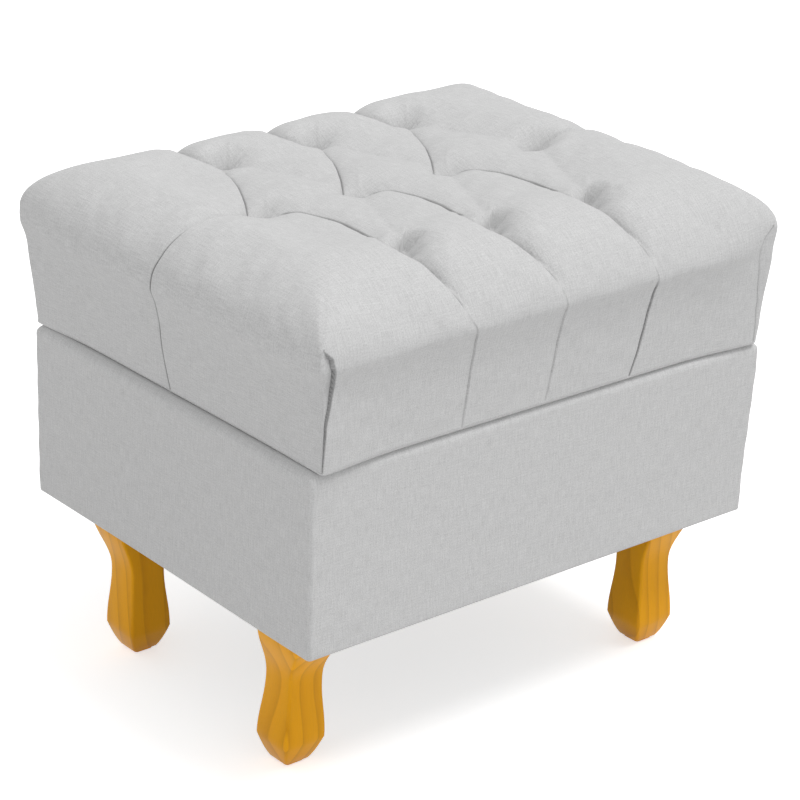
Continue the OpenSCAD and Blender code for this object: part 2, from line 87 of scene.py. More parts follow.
# Tufts, as they were pulled by hand, a little off their even places
OUTER_ROW = 0.118
FRONT_TUFTS = [(-0.094, -OUTER_ROW), (-0.002, -OUTER_ROW), (0.104, -OUTER_ROW)]
MIDDLE_TUFTS = [(-0.141, 0.0), (-0.045, 0.0), (0.051, 0.0), (0.151, 0.0)]
BACK_TUFTS = [(-0.093, OUTER_ROW), (0.003, OUTER_ROW), (0.103, OUTER_ROW)]
TUFTS = FRONT_TUFTS + MIDDLE_TUFTS + BACK_TUFTS

# The legs, from the front left one
LEG_LOW, LEG_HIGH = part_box("leg_front_left")
LEG_H = LEG_HIGH.z
# Where its foot is widest, and how much its long edges are rounded
LEG_FOOT_Z, LEG_ROUND = 0.024, 0.0026


def clear_selection():
    if bpy.context.mode != "OBJECT":
        bpy.ops.object.mode_set(mode="OBJECT")
    bpy.ops.object.select_all(action="DESELECT")


def take(piece):
    clear_selection()
    piece.select_set(True)
    bpy.context.view_layer.objects.active = piece


def added(name):
    piece = bpy.context.active_object
    piece.name = name
    piece.data.name = name
    return piece


def applied(piece, kind, **settings):
    take(piece)
    modifier = piece.modifiers.new(kind.lower(), kind)
    for key, value in settings.items():
        setattr(modifier, key, value)
    bpy.ops.object.modifier_apply(modifier=modifier.name)


def smooth(piece, angle=None):
    take(piece)
    if angle is None:
        bpy.ops.object.shade_smooth()
    else:
        bpy.ops.object.shade_smooth_by_angle(angle=math.radians(angle))


def on_all(piece, operator, **settings):
    """Runs a mesh operator on the whole of a piece."""
    take(piece)
    bpy.ops.object.mode_set(mode="EDIT")
    bpy.ops.mesh.select_all(action="SELECT")
    operator(**settings)
    bpy.ops.object.mode_set(mode="OBJECT")


def face_outwards(piece):
    on_all(piece, bpy.ops.mesh.normals_make_consistent, inside=False)


def points_of(piece):
    points = np.zeros(len(piece.data.vertices) * 3)
    piece.data.vertices.foreach_get("co", points)
    return points.reshape(-1, 3)


def place_points(piece, points):
    piece.data.vertices.foreach_set("co", np.ascontiguousarray(points, np.float32).ravel())
    piece.data.update()


def normals_of(piece):
    normals = np.zeros(len(piece.data.vertices) * 3)
    piece.data.vertices.foreach_get("normal", normals)
    return normals.reshape(-1, 3)


def corners_of(piece):
    """The number of the point at each corner of the faces."""
    corners = np.zeros(len(piece.data.loops), np.int32)
    piece.data.loops.foreach_get("vertex_index", corners)
    return corners


def lay_cloth(piece, u, v):
    """Gives a piece its cloth map: where each corner of its faces lies on the flat cloth."""
    layers = piece.data.uv_layers
    layer = layers[0] if layers else layers.new()
    layer.name = "cloth"
    layer.data.foreach_set("uv", np.stack([u, v], axis=1).astype(np.float32).ravel())


def lengths_along(points):
    """The length of a path so far at each of its points."""
    return np.concatenate([[0], np.cumsum(np.linalg.norm(np.diff(points, axis=0), axis=1))])


def step(t):
    """A smooth step from 0 to 1."""
    t = np.clip(t, 0, 1)
    return t * t * (3 - 2 * t)


def bell(gap, reach):
    """1 where the gap is 0, falling to nothing within about twice the reach."""
    return np.exp(-(gap / reach) ** 2)


def swell(t):
    """A half wave from 0 to 1."""
    return (1 - math.cos(math.pi * min(1, max(0, t)))) / 2


def waves(a, b, size, seed):
    """A smooth uneven field from minus one to one over the places a and b, with swells of about size."""
    total = 0
    for k in range(5):
        turn, shift = seed * 1.7 + k * 2.399, seed * 3.1 + k * 1.3
        along = (a * math.cos(turn) + b * math.sin(turn)) / size * (0.7 + 0.35 * k)
        total = total + np.sin(2 * math.pi * along + shift)
    return total / 5


# Node groups and materials


def group(name, inputs, outputs):
    tree = bpy.data.node_groups.new(name, "ShaderNodeTree")
    for label, kind, value in inputs:
        socket = tree.interface.new_socket(name=label, in_out="INPUT", socket_type=kind)
        if value is not None:
            socket.default_value = value
    for label, kind in outputs:
        tree.interface.new_socket(name=label, in_out="OUTPUT", socket_type=kind)
    return tree, tree.nodes.new("NodeGroupInput"), tree.nodes.new("NodeGroupOutput")


def node(tree, kind, settings=(), **inputs):
    """A node with its settings, and its inputs by name: a value, or the output socket that feeds it."""
    made = tree.nodes.new(kind)
    for key, value in dict(settings).items():
        setattr(made, key, value)
    for label, value in inputs.items():
        where = int(label[1:]) if label[0] == "_" and label[1:].isdigit() else label.replace("_", " ")
        socket = made.inputs[where]
        if isinstance(value, bpy.types.NodeSocket):
            tree.links.new(value, socket)
        else:
            socket.default_value = value
    return made


def maths(tree, what, a, b=0.0, c=0.0):
    return node(tree, "ShaderNodeMath", {"operation": what}, _0=a, _1=b, _2=c).outputs[0]


def mixed(tree, share, a, b, how="MIX"):
    made = node(tree, "ShaderNodeMix", {"data_type": "RGBA", "blend_type": how}, _0=share, _6=a, _7=b)
    return made.outputs[2]


def spread(tree, value, low, high, to_low=0.0, to_high=1.0):
    made = node(tree, "ShaderNodeMapRange", (), _0=value, _1=low, _2=high, _3=to_low, _4=to_high)
    return made.outputs[0]


def stretched(tree, vector, scale):
    return node(tree, "ShaderNodeMapping", (), Vector=vector, Scale=scale).outputs[0]


def noise(tree, vector, scale, detail=2.0, roughness=0.5):
    made = node(tree, "ShaderNodeTexNoise", (), Vector=vector, Scale=scale, Detail=detail,
                Roughness=roughness)
    return made.outputs[0]


def summed(tree, *parts):
    """The sum of values, each times its weight."""
    total = None
    for value, weight in parts:
        part = maths(tree, "MULTIPLY", value, weight)
        total = part if total is None else maths(tree, "ADD", total, part)
    return total


def on_piece(tree):
    return node(tree, "ShaderNodeTexCoord").outputs["Object"]


def grey(value):
    return (value, value, value, 1)


def woven_cloth():
    """Plain weave of uneven yarns. Cloth is a place on the cloth in metres, with the warp along Y."""
    tree, given, out = group(
        "woven_cloth",
        [("Cloth", "NodeSocketVector", None), ("Light", "NodeSocketColor", grey(0.8)),
         ("Dark", "NodeSocketColor", grey(0.6)), ("Yarn", "NodeSocketFloat", 0.0006)],
        [("Color", "NodeSocketColor"), ("Height", "NodeSocketFloat")])
    cloth, yarn = given.outputs["Cloth"], given.outputs["Yarn"]
    in_yarns = node(tree, "ShaderNodeVectorMath", {"operation": "SCALE"}, _0=cloth,
                    Scale=maths(tree, "DIVIDE", 1.0, yarn)).outputs[0]
    parts = node(tree, "ShaderNodeSeparateXYZ", (), Vector=in_yarns)
    across = maths(tree, "SINE", maths(tree, "MULTIPLY", parts.outputs[0], math.pi))
    along = maths(tree, "SINE", maths(tree, "MULTIPLY", parts.outputs[1], math.pi))
    weave = maths(tree, "MULTIPLY", across, along)
    flecks = noise(tree, stretched(tree, in_yarns, (0.80, 0.50, 1)), 1.0, 1.0)
    warp = noise(tree, stretched(tree, cloth, (820, 75, 1)), 1.0, 3.0, 0.6)
    weft = noise(tree, stretched(tree, cloth, (60, 700, 1)), 1.0, 3.0, 0.6)
    mottle = noise(tree, cloth, 160.0, 3.0)
    tone = summed(tree, (spread(tree, flecks, 0.25, 0.75), 0.48), (spread(tree, warp, 0.3, 0.7), 0.30),
                  (spread(tree, weft, 0.3, 0.7), 0.18), (spread(tree, mottle, 0.3, 0.7), 0.04))
    tree.links.new(mixed(tree, tone, given.outputs["Dark"], given.outputs["Light"]),
                   out.inputs["Color"])
    tree.links.new(summed(tree, (weave, 0.5), (tone, 1.2)), out.inputs["Height"])
    return tree


def timber_grain():
    """Growth rings and pores. Place is in metres with the grain along Z."""
    tree, given, out = group(
        "timber_grain",
        [("Place", "NodeSocketVector", None), ("Light", "NodeSocketColor", grey(0.8)),
         ("Dark", "NodeSocketColor", grey(0.4)), ("Rings", "NodeSocketFloat", 130.0),
         ("Contrast", "NodeSocketFloat", 1.0)],
        [("Color", "NodeSocketColor"), ("Height", "NodeSocketFloat")])
    place = given.outputs["Place"]
    slow = node(tree, "ShaderNodeTexNoise", (), Vector=stretched(tree, place, (9, 9, 2.2)), Scale=1.0,
                Detail=2.0).outputs["Color"]
    bent = node(tree, "ShaderNodeVectorMath", {"operation": "MULTIPLY_ADD"}, _0=slow,
                _1=(0.045, 0.045, 0.0), _2=place).outputs[0]
    parts = node(tree, "ShaderNodeSeparateXYZ", (), Vector=bent)
    square = summed(tree, *[(parts.outputs[i], parts.outputs[i]) for i in (0, 1)])
    from_pith = maths(tree, "SQRT", square)
    ring = maths(tree, "FRACT", maths(tree, "MULTIPLY", from_pith, given.outputs["Rings"]))
    late = maths(tree, "POWER", ring, 3.0)
    edge = spread(tree, ring, 0.93, 1.0, 1.0, 0.0)
    band = maths(tree, "MULTIPLY", late, edge)
    pores = noise(tree, stretched(tree, place, (1500, 1500, 45)), 1.0, 2.0, 0.6)
    cloud = noise(tree, stretched(tree, place, (35, 35, 9)), 1.0, 3.0)
    tone = summed(tree, (band, 0.75), (spread(tree, pores, 0.45, 0.8), 0.25),
                  (spread(tree, cloud, 0.35, 0.75), 0.22))
    tone = maths(tree, "MULTIPLY", tone, given.outputs["Contrast"])
    tree.links.new(mixed(tree, tone, given.outputs["Light"], given.outputs["Dark"]), out.inputs["Color"])
    tree.links.new(maths(tree, "SUBTRACT", 1.0, tone), out.inputs["Height"])
    return tree


WEAVE = woven_cloth()
TIMBER = timber_grain()


def material(name):
    made = bpy.data.materials.new(name)
    made.use_nodes = True
    tree = made.node_tree
    shader = tree.nodes["Principled BSDF"]
    return made, tree, shader


def set_sockets(shader, **values):
    for label, value in values.items():
        shader.inputs[label.replace("_", " ")].default_value = value


def placed_group(tree, which, **inputs):
    made = node(tree, "ShaderNodeGroup", {"node_tree": which})
    for label, value in inputs.items():
        if isinstance(value, bpy.types.NodeSocket):
            tree.links.new(value, made.inputs[label])
        else:
            made.inputs[label].default_value = value
    return made


def raised(tree, shader, height, distance, strength=1.0):
    bump = node(tree, "ShaderNodeBump", (), Height=height, Distance=distance, Strength=strength)
    tree.links.new(bump.outputs[0], shader.inputs["Normal"])


def cloth_material(name, light, dark, yarn, roughness, sheen, creased=False):
    made, tree, shader = material(name)
    where = node(tree, "ShaderNodeUVMap", {"uv_map": "cloth"}).outputs[0]
    weave = placed_group(tree, WEAVE, Cloth=where, Light=light, Dark=dark, Yarn=yarn)
    colour = weave.outputs["Color"]
    if creased:
        # Shade painted into the colour: it darkens towards grey(0.10) by the amount of painted shade kept for
        # each point
        inside = node(tree, "ShaderNodeAttribute", {"attribute_name": "crease"}).outputs["Fac"]
        colour = mixed(tree, inside, colour, grey(0.10))
    tree.links.new(colour, shader.inputs["Base Color"])
    set_sockets(shader, Roughness=roughness, Sheen_Weight=sheen, Sheen_Roughness=0.5,
                Specular_IOR_Level=0.2)
    raised(tree, shader, weave.outputs["Height"], yarn * 0.35, 0.6)
    return made


def linen():
    return cloth_material("linen", grey(0.80), grey(0.485), 0.0006, 0.9, 0.05)


# The cushion's linen, with shade painted along its crisp lines, beside its corner pleats and in its pockets
def tufted_linen_with_painted_shade():
    return cloth_material("tufted_linen_with_painted_shade", grey(0.80), grey(0.485), 0.0006, 0.9, 0.05, True)


def dust_cloth():
    return cloth_material("dust_cloth", grey(0.040), grey(0.018), 0.0009, 0.95, 0.1)


def timber(name, turn, pith, bump, **look):
    """A timber with its grain turned by turn, its rings round pith and its surface raised by bump."""
    made, tree, shader = material(name)
    place = node(tree, "ShaderNodeMapping", (), Vector=on_piece(tree), Rotation=turn,
                 Location=pith).outputs[0]
    grain = placed_group(tree, TIMBER, Place=place, **look)
    tree.links.new(grain.outputs["Color"], shader.inputs["Base Color"])
    raised(tree, shader, grain.outputs["Height"], *bump)
    return made, shader


def varnished_pine():
    made, shader = timber("varnished_pine", (0.03, 0.05, 0.6), (0.021, 0.052, 0.0), (0.0001, 0.3),
                          Light=(0.98, 0.45, 0.006, 1), Dark=(0.52, 0.19, 0.001, 1), Rings=85.0,
                          Contrast=0.6)
    set_sockets(shader, Roughness=0.36, Coat_Weight=0.08, Coat_Roughness=0.12, Specular_IOR_Level=0.10)
    return made


def raw_timber(name, light, dark, rings, turn):
    made, shader = timber(name, turn, (0.03, 0.04, 0.02), (0.0002, 0.5), Light=light, Dark=dark,
                          Rings=rings, Contrast=0.8)
    set_sockets(shader, Roughness=0.75)
    return made


def foam():
    made, tree, shader = material("foam")
    place = on_piece(tree)
    cells = node(tree, "ShaderNodeTexVoronoi", (), Vector=place, Scale=900.0).outputs["Distance"]
    tone = summed(tree, (cells, 0.6), (noise(tree, place, 30.0, 3.0), 0.4))
    tree.links.new(mixed(tree, tone, (0.88, 0.80, 0.55, 1), (0.72, 0.62, 0.38, 1)),
                   shader.inputs["Base Color"])
    set_sockets(shader, Roughness=0.95)
    raised(tree, shader, cells, 0.0005, 0.8)
    return made


def plated_steel(name, light, dark):
    made, tree, shader = material(name)
    place = on_piece(tree)
    blotch = noise(tree, place, 260.0, 4.0, 0.6)
    fine = noise(tree, stretched(tree, place, (2500, 2500, 300)), 1.0, 2.0)
    tree.links.new(mixed(tree, blotch, light, dark), shader.inputs["Base Color"])
    tree.links.new(spread(tree, blotch, 0.3, 0.7, 0.28, 0.48), shader.inputs["Roughness"])
    set_sockets(shader, Metallic=1.0)
    raised(tree, shader, fine, 0.00005, 0.4)
    return made


def waxed_twine():
    made, tree, shader = material("waxed_twine")
    lay = node(tree, "ShaderNodeTexWave", {"bands_direction": "DIAGONAL"}, Vector=on_piece(tree),
               Scale=500.0, Distortion=1.0).outputs["Fac"]
    tree.links.new(mixed(tree, lay, (0.80, 0.77, 0.66, 1), (0.56, 0.53, 0.43, 1)),
                   shader.inputs["Base Color"])
    set_sockets(shader, Roughness=0.6)
    raised(tree, shader, lay, 0.0003, 0.8)
    return made


LINEN = linen()
TUFTED_LINEN_WITH_PAINTED_SHADE = tufted_linen_with_painted_shade()
DUST_CLOTH = dust_cloth()
PINE = varnished_pine()
BOARD = raw_timber("raw_board", (0.66, 0.47, 0.27, 1), (0.46, 0.29, 0.14, 1), 90.0, (0, math.pi / 2, 0))
BATTEN = raw_timber("raw_batten", (0.72, 0.53, 0.31, 1), (0.50, 0.31, 0.15, 1), 160.0,
                    (0.05, math.pi / 2, 0))
FOAM = foam()
STEEL = plated_steel("zinc_steel", (0.60, 0.61, 0.63, 1), (0.44, 0.45, 0.47, 1))
YELLOW_ZINC = plated_steel("yellow_zinc", (0.68, 0.52, 0.24, 1), (0.50, 0.40, 0.22, 1))
TWINE = waxed_twine()


def clad(piece, finish, slot, *nodes):
    """Gives a new piece its finish, its body and the nodes that it stands for."""
    piece.data.materials.clear()
    piece.data.materials.append(finish)
    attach(piece, "root")
    if nodes:
        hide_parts(*nodes)


def finish_nodes():
    """The CAD nodes that stay get their finishes."""
    for finish, names in (
            (BOARD, ("frame_front", "frame_back", "frame_left", "frame_right", "leg_rail_left",
                     "leg_rail_right", "centre_brace", "seat_board")),
            (BATTEN, ("corner_blocks", "cleat_front", "cleat_back")),
            (STEEL, ("leg_bolts", "tee_nuts", "cover_staples", "cloth_staples", "twine_staples")),
            (YELLOW_ZINC, ("frame_screws", "seat_screws")),
            (TWINE, ("tuft_twines",))):
        for name in names:
            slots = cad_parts[name].data.materials
            slots.clear()
            slots.append(finish)


# The camera


def photo_camera():
    data = bpy.data.cameras.new("camera")
    data.lens, data.sensor_width = CAMERA_LENS, CAMERA_SENSOR
    camera = bpy.data.objects.new("camera", data)
    bpy.context.scene.collection.objects.link(camera)
    turn = Euler((math.radians(90 - CAMERA_DIP), 0, -math.radians(CAMERA_TURN))).to_matrix()
    turn = turn @ Matrix.Rotation(math.radians(CAMERA_ROLL), 3, "Z")
    camera.matrix_world = Matrix.Translation(CAMERA_PLACE) @ turn.to_4x4()
    bpy.context.scene.camera = camera


# The legs


def leg_half(z):
    """How far the leg's inner and its outer faces stand from its middle at height z."""
    neck, foot, sole = 0.0172, 0.0208, 0.0090
    neck_z, foot_z = 0.078, LEG_FOOT_Z
    flare, flare_z, flare_h = 0.0125, 0.080, 0.052
    if z < foot_z:
        inner = sole + (foot - sole) * (z / foot_z) ** 0.62
    else:
        inner = foot - (foot - neck) * swell((z - foot_z) / (neck_z - foot_z))
    return inner, inner + flare * swell((z - flare_z) / flare_h)


def leg():
    """The front left leg: a squared blank drawn up section by section, with softened edges."""
    inner, outer = leg_half(0)
    axis_x = LEG_LOW.x + leg_half(LEG_H)[1]
    axis_y = LEG_LOW.y + leg_half(LEG_H)[1]
    heights = [0.0012, 0.003, 0.006, 0.010, 0.015, 0.020, LEG_FOOT_Z]
    rows = 22
    heights += [LEG_FOOT_Z + (LEG_H - LEG_FOOT_Z) * (i + 1) / rows for i in range(rows)]
    clear_selection()
    bpy.ops.mesh.primitive_cube_add(size=1, location=(axis_x, axis_y, heights[0] / 2),
                                    scale=(2 * inner, 2 * inner, heights[0]))
    piece = added("pine_leg_front_left")
    bpy.ops.object.mode_set(mode="EDIT")
    bpy.ops.mesh.select_mode(type="FACE")
    bpy.ops.mesh.select_all(action="DESELECT")
    mesh = bmesh.from_edit_mesh(piece.data)
    for face in mesh.faces:
        face.select = face.normal.z > 0.5
    bmesh.update_edit_mesh(piece.data)
    width, shift, low = inner + outer, 0.0, heights[0]
    for z in heights[1:]:
        inner, outer = leg_half(z)
        new_width, new_shift = inner + outer, (inner - outer) / 2
        bpy.ops.mesh.extrude_region_move(TRANSFORM_OT_translate={
            "value": (new_shift - shift, new_shift - shift, z - low)})
        bpy.ops.transform.resize(value=(new_width / width, new_width / width, 1))
        width, shift, low = new_width, new_shift, z
    bpy.ops.mesh.select_mode(type="EDGE")
    bpy.ops.mesh.select_all(action="DESELECT")
    mesh = bmesh.from_edit_mesh(piece.data)
    for edge in mesh.edges:
        rise = abs(edge.verts[0].co.z - edge.verts[1].co.z)
        edge.select = rise > 1e-5
    bmesh.update_edit_mesh(piece.data)
    bpy.ops.mesh.bevel(offset=LEG_ROUND, offset_type="OFFSET", segments=4, profile=0.5)
    face_outwards(piece)
    bpy.ops.object.transform_apply(location=True, rotation=True, scale=True)
    return piece


# Where each leg's top and foot stand beside their even places, as they were screwed in by hand
LEG_STANDS = {"front_left": ((-0.002, 0.003), (-0.006, 0.008)),
              "front_right": ((0.000, -0.006), (0.000, -0.006)),
              "back_left": ((0.005, 0.001), (0.005, 0.001))}
# The front left leg's front face flares by this more, from this height up
MORE_FLARE, MORE_FLARE_Z = 0.012, 0.085


def stood(piece, name):
    """Leans a leg to where it stands."""
    (top_x, top_y), (foot_x, foot_y) = LEG_STANDS[name]
    points = points_of(piece)
    share = points[:, 2] / LEG_H
    points[:, 0] += foot_x + (top_x - foot_x) * share
    points[:, 1] += foot_y + (top_y - foot_y) * share
    if name == "front_left":
        middle = LEG_LOW.y + leg_half(LEG_H)[1]
        flare = MORE_FLARE * step((points[:, 2] - MORE_FLARE_Z) / (LEG_H - MORE_FLARE_Z))
        points[:, 1] -= flare * step((middle + 0.006 - points[:, 1]) / 0.012)
    place_points(piece, points)


def legs():
    """The front left leg and three mirrored copies, each leaned to where it stands."""
    first = leg()
    smooth(first, 28)
    clad(first, PINE, "varnished_pine", "leg_front_left")
    for name, x, y in (("front_right", -1, 1), ("back_left", 1, -1), ("back_right", -1, -1)):
        take(first)
        bpy.ops.object.duplicate()
        piece = added("pine_leg_" + name)
        piece.parent = None
        piece.scale = (x, y, 1)
        bpy.ops.object.transform_apply(location=True, rotation=True, scale=True)
        face_outwards(piece)
        clad(piece, PINE, "varnished_pine", "leg_" + name)
        if name in LEG_STANDS:
            stood(piece, name)
    stood(first, "front_left")


# The base box


HEM_STEPS, LOW_STEPS, WALL_STEPS, TOP_STEPS = 4, 5, 40, 10
LONG_COLUMNS, SHORT_COLUMNS = 120, 96
# Turns a wall drawn for the front to its side
WALL_TURNS = {"front": (1, 0, 0, 1), "back": (-1, 0, 0, -1), "left": (0, 1, -1, 0), "right": (0, -1, 1, 0)}
# The stuffed box is this much wider at the top of its right front corner, and its lower edge hangs this
# much lower at the front
CORNER_WIDER, FRONT_SAG = 0.0038, 0.0032
# The corner seams: how far the cloth dips in, how far it puckers between stitches this long, how far each
# of these reaches from the seam, and how slack the cloth lies on the wall
SEAM_DIP, DIP_REACH = 0.0011, 0.0013
PUCKER, PUCKER_REACH, STITCH = 0.00022, 0.006, 0.0042
SLACK = 0.00030


def wall_section(inset, low_z, high_z, hem, flap):
    """Points (distance inwards, height) up the wall of the box, and the length so far at each: a hem under
    the frame, the wall, a turn over the foam's edge and a flap on top."""
    bend, top = LOW_BEND - inset, TOP_BEND - inset
    points = [(hem - (hem - inset - bend) * i / HEM_STEPS, low_z) for i in range(HEM_STEPS + 1)]
    for i in range(1, LOW_STEPS + 1):
        a = math.pi / 2 * i / LOW_STEPS
        points.append((inset + bend * (1 - math.sin(a)), low_z + bend * (1 - math.cos(a))))
    start = points[-1][1]
    points += [(inset, start + (high_z - top - start) * i / WALL_STEPS) for i in range(1, WALL_STEPS + 1)]
    for i in range(1, TOP_STEPS + 1):
        a = math.pi / 2 * i / TOP_STEPS
        points.append((inset + top * (1 - math.cos(a)), high_z - top + top * math.sin(a)))
    points += [(inset + top + (flap - inset - top) * i / HEM_STEPS, high_z) for i in range(1, HEM_STEPS + 1)]
    points = np.array(points)
    return points, lengths_along(points)


def settle(points, depth, low_z):
    """Lets the right front corner stand wider at its top, and the lower edge sag towards the front. Depth
    is how far each point lies behind the wall's face."""
    from_corner = (BASE_X - points[:, 0]) + (BASE_Y + points[:, 1])
    height = points[:, 2].copy()
    wider = CORNER_WIDER * step((height - 0.150) / 0.14) * bell(from_corner, 0.10)
    points[:, 0] += wider
    points[:, 1] -= wider
    edge = (1 - step((height - low_z) / 0.10)) * (1 - step((depth - 0.003) / 0.005))
    points[:, 2] -= FRONT_SAG * edge * step(1 - (points[:, 1] + BASE_Y) / 0.30)


def wall_piece(name, side, inset, low_z, high_z, hem, flap, thickness, seam):
    """A strip along one side of the box, mitred at the corners and rounded round them."""
    long_side = side in ("front", "back")
    half, out = (BASE_X, BASE_Y) if long_side else (BASE_Y, BASE_X)
    section, lengths = wall_section(inset, low_z, high_z, hem, flap)
    across = LONG_COLUMNS if long_side else SHORT_COLUMNS
    clear_selection()
    bpy.ops.mesh.primitive_grid_add(x_subdivisions=across, y_subdivisions=len(section) - 1, size=2)
    piece = added(name)
    points = points_of(piece)
    row = np.rint((points[:, 1] + 1) / 2 * (len(section) - 1)).astype(int)
    # Columns crowd towards the ends, where the corner turns
    end = np.sign(points[:, 0])
    share = 1 - (1 - np.abs(points[:, 0])) ** 1.35
    inwards, height, length = section[row, 0], section[row, 1], lengths[row]
    bend = np.maximum(CORNER_BEND - (inwards - inset), 0.0002)
    straight = half - inwards - bend
    reach = straight + bend * math.pi / 4 - 0.0001
    run = share * reach
    angle = np.clip((run - straight) / bend, 0, math.pi / 4)
    x = np.where(run < straight, run, straight + bend * np.sin(angle)) * end
    deep = inwards + np.where(run < straight, 0, bend * (1 - np.cos(angle)))
    from_end = reach - run
    wall = (height > low_z + 1e-4) & (height < high_z - 1e-4)
    if seam:
        # The cloth dips into the corner seam and puckers between its stitches
        dip = SEAM_DIP * bell(from_end, DIP_REACH)
        pucker = PUCKER * bell(from_end, PUCKER_REACH) * np.sin(2 * math.pi * height / STITCH)
        ends = np.clip((height - low_z) / 0.01, 0, 1) * np.clip((high_z - height) / 0.012, 0, 1)
        slack = SLACK * waves(run * end, height, 0.11, 3 + len(side)) * ends
        deep = deep + wall * (dip + pucker - slack + SLACK)
        x = x - end * wall * dip * 0.7
    y = -out + deep
    a, b, c, d = WALL_TURNS[side]
    turned = np.stack([a * x - b * y, -c * x + d * y, height], axis=1)
    settle(turned, inwards - inset, low_z)
    place_points(piece, turned)
    corner = corners_of(piece)
    # The weave is shifted by side, so that it doesn't run on from the left side to the front
    lay_cloth(piece, (run * end)[corner] + 0.7 * len(side), length[corner])
    face_outwards(piece)
    middle = piece.data.polygons[len(piece.data.polygons) // 2]
    outwards = Vector((middle.center.x * (not long_side), middle.center.y * long_side, 0))
    if middle.normal.dot(outwards) < 0:
        on_all(piece, bpy.ops.mesh.flip_normals)
    applied(piece, "SOLIDIFY", thickness=thickness, offset=-1)
    smooth(piece, 50)
    return piece, lengths[-1]


def base_box():
    """The box's four strips of fabric, and the thin foam under each."""
    for side in ("front", "back", "left", "right"):
        cover, cut = wall_piece("box_fabric_" + side, side, 0, HEM_Z, PART_Z, HEM, FLAP, CLOTH * 0.9, True)
        clad(cover, LINEN, "linen", "base_cover_" + side)
        under, pad_hem = CLOTH + 0.0002, CLOTH + PAD
        pad, cut = wall_piece("box_foam_" + side, side, under, HEM_Z + CLOTH, PART_Z - under,
                              pad_hem, pad_hem, PAD - 0.001, False)
        clad(pad, FOAM, "foam", "base_pad_" + side)


def bottom_cloth():
    """The cloth stapled under the frame, which sags a little between its edges."""
    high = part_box("bottom_cloth")[1]
    clear_selection()
    cell = 0.005
    bpy.ops.mesh.primitive_grid_add(x_subdivisions=round(2 * high.x / cell),
                                    y_subdivisions=round(2 * high.y / cell), size=2)
    piece = added("under_cloth")
    points = points_of(piece)
    x, y = points[:, 0] * high.x, points[:, 1] * high.y
    edge = np.minimum(high.x - np.abs(x), high.y - np.abs(y))
    sag = 0.00010 * waves(x, y, 0.05, 2) * np.clip(edge / 0.02, 0, 1)
    place_points(piece, np.stack([x, y, high.z - 0.00014 + sag - 0.00012 * (edge < 0.012)], axis=1))
    corner = corners_of(piece)
    lay_cloth(piece, x[corner], y[corner])
    applied(piece, "SOLIDIFY", thickness=0.0002, offset=-1)
    smooth(piece, 40)
    clad(piece, DUST_CLOTH, "dust_cloth", "bottom_cloth")


# The cushion

# Each point of the cushion keeps its place in a net: X and Y in the field, and the number of its ring
# outside the field, which is 0 inside it and on its rim. The rings run over the shoulder to the upper
# edge, down the side, round the lower edge, along the hem and back over the board inside. While the net
# is drawn, each ring hangs NET_STEP below the last.
SHOULDER_RINGS, SIDE_RINGS, TURN_RINGS, HEM_RINGS = 10, 22, 3, 4
SIDE_START = SHOULDER_RINGS
TURN_START = SIDE_START + SIDE_RINGS
HEM_START = TURN_START + TURN_RINGS
HEM_END = HEM_START + HEM_RINGS
RINGS = HEM_END + 3
NET_X, NET_Y = 100, 82
NET_STEP = 0.001
# How deep the valleys between the buns, the whole tufted field and the pockets lie
SOFT_VALLEY, FIELD_SINK, POCKET = 0.0030, 0.0065, 0.0225
# How far the sunk field reaches to the left, to the right and to the front and back, and how it runs out
SINK_LEFT, SINK_RIGHT, SINK_DEPTH, SINK_SOFT = 0.145, 0.105, 0.085, 0.060
POCKET_REACH, BUN = 0.029, 0.040
# How sharply the two shoulders meet at a corner
CORNER_POWER = 10.0


def shoulder_share(q, full):
    """Share of the shoulder's height where q runs from 0 on the flat of the top to 1 at its upper edge. A
    full shoulder keeps its height longer."""
    return (1 - np.clip(q, 0, 1) ** (2.5 + 0.7 * full)) ** (0.58 - 0.13 * full)


def shoulder_height(share):
    """Height at a share of the way up the shoulder."""
    return EDGE_Z + (SEAT_TOP - 0.0005 - EDGE_Z) * share


def side_out(u):
    """How far the side stands outside the field, from 0 at the lower edge to 1 at the upper edge."""
    roll = EDGE_ROLL * bell((1 - u) * (EDGE_Z - PART_Z), ROLL_REACH)
    return LOW_OUT + (RIM - LOW_OUT - EDGE_ROLL) * u ** 1.2 + roll


def shares(ring):
    """How far a ring is along each stretch of the net, from 0 to 1, and its number over the board."""
    shoulder = np.clip(ring / SHOULDER_RINGS, 0, 1)
    side = np.clip((ring - SIDE_START) / SIDE_RINGS, 0, 1)
    turn = np.clip((ring - TURN_START) / TURN_RINGS, 0, 1)
    hem = np.clip((ring - HEM_START) / HEM_RINGS, 0, 1)
    lining = np.clip(ring - HEM_END, 0, 3)
    return shoulder, side, turn, hem, lining


def rim_distance(shoulder):
    """How far a shoulder ring lies inside the upper edge. The rings crowd towards that edge."""
    return RIM * (1 - shoulder) ** 1.5


def section_out(shoulder, side, turn):
    """How far the cloth stands outside the field on its way to the lower edge."""
    out = np.where(side > 0, side_out(1 - side), RIM - rim_distance(shoulder))
    return out - LOW_TURN * (1 - np.cos(turn * math.pi / 2))


def section_height(side, turn, top):
    """Height of the cloth on that way. Top is its height as far as the upper edge."""
    low = PART_Z + LOW_TURN
    return np.where(side > 0, low + (EDGE_Z - low) * (1 - side), top) - LOW_TURN * np.sin(turn * math.pi / 2)


def cloth_run(ring):
    """Length of cloth from the field's rim to a ring."""
    steps = np.linspace(0, HEM_END, 1200)
    shoulder, side, turn, _, _ = shares(steps)
    top = shoulder_height(shoulder_share(1 - rim_distance(shoulder) / REACH_Y, 0))
    path = np.stack([section_out(shoulder, side, turn), section_height(side, turn, top)], axis=1)
    return np.interp(ring, steps, lengths_along(path)) + SEAT_HEM * shares(ring)[3]


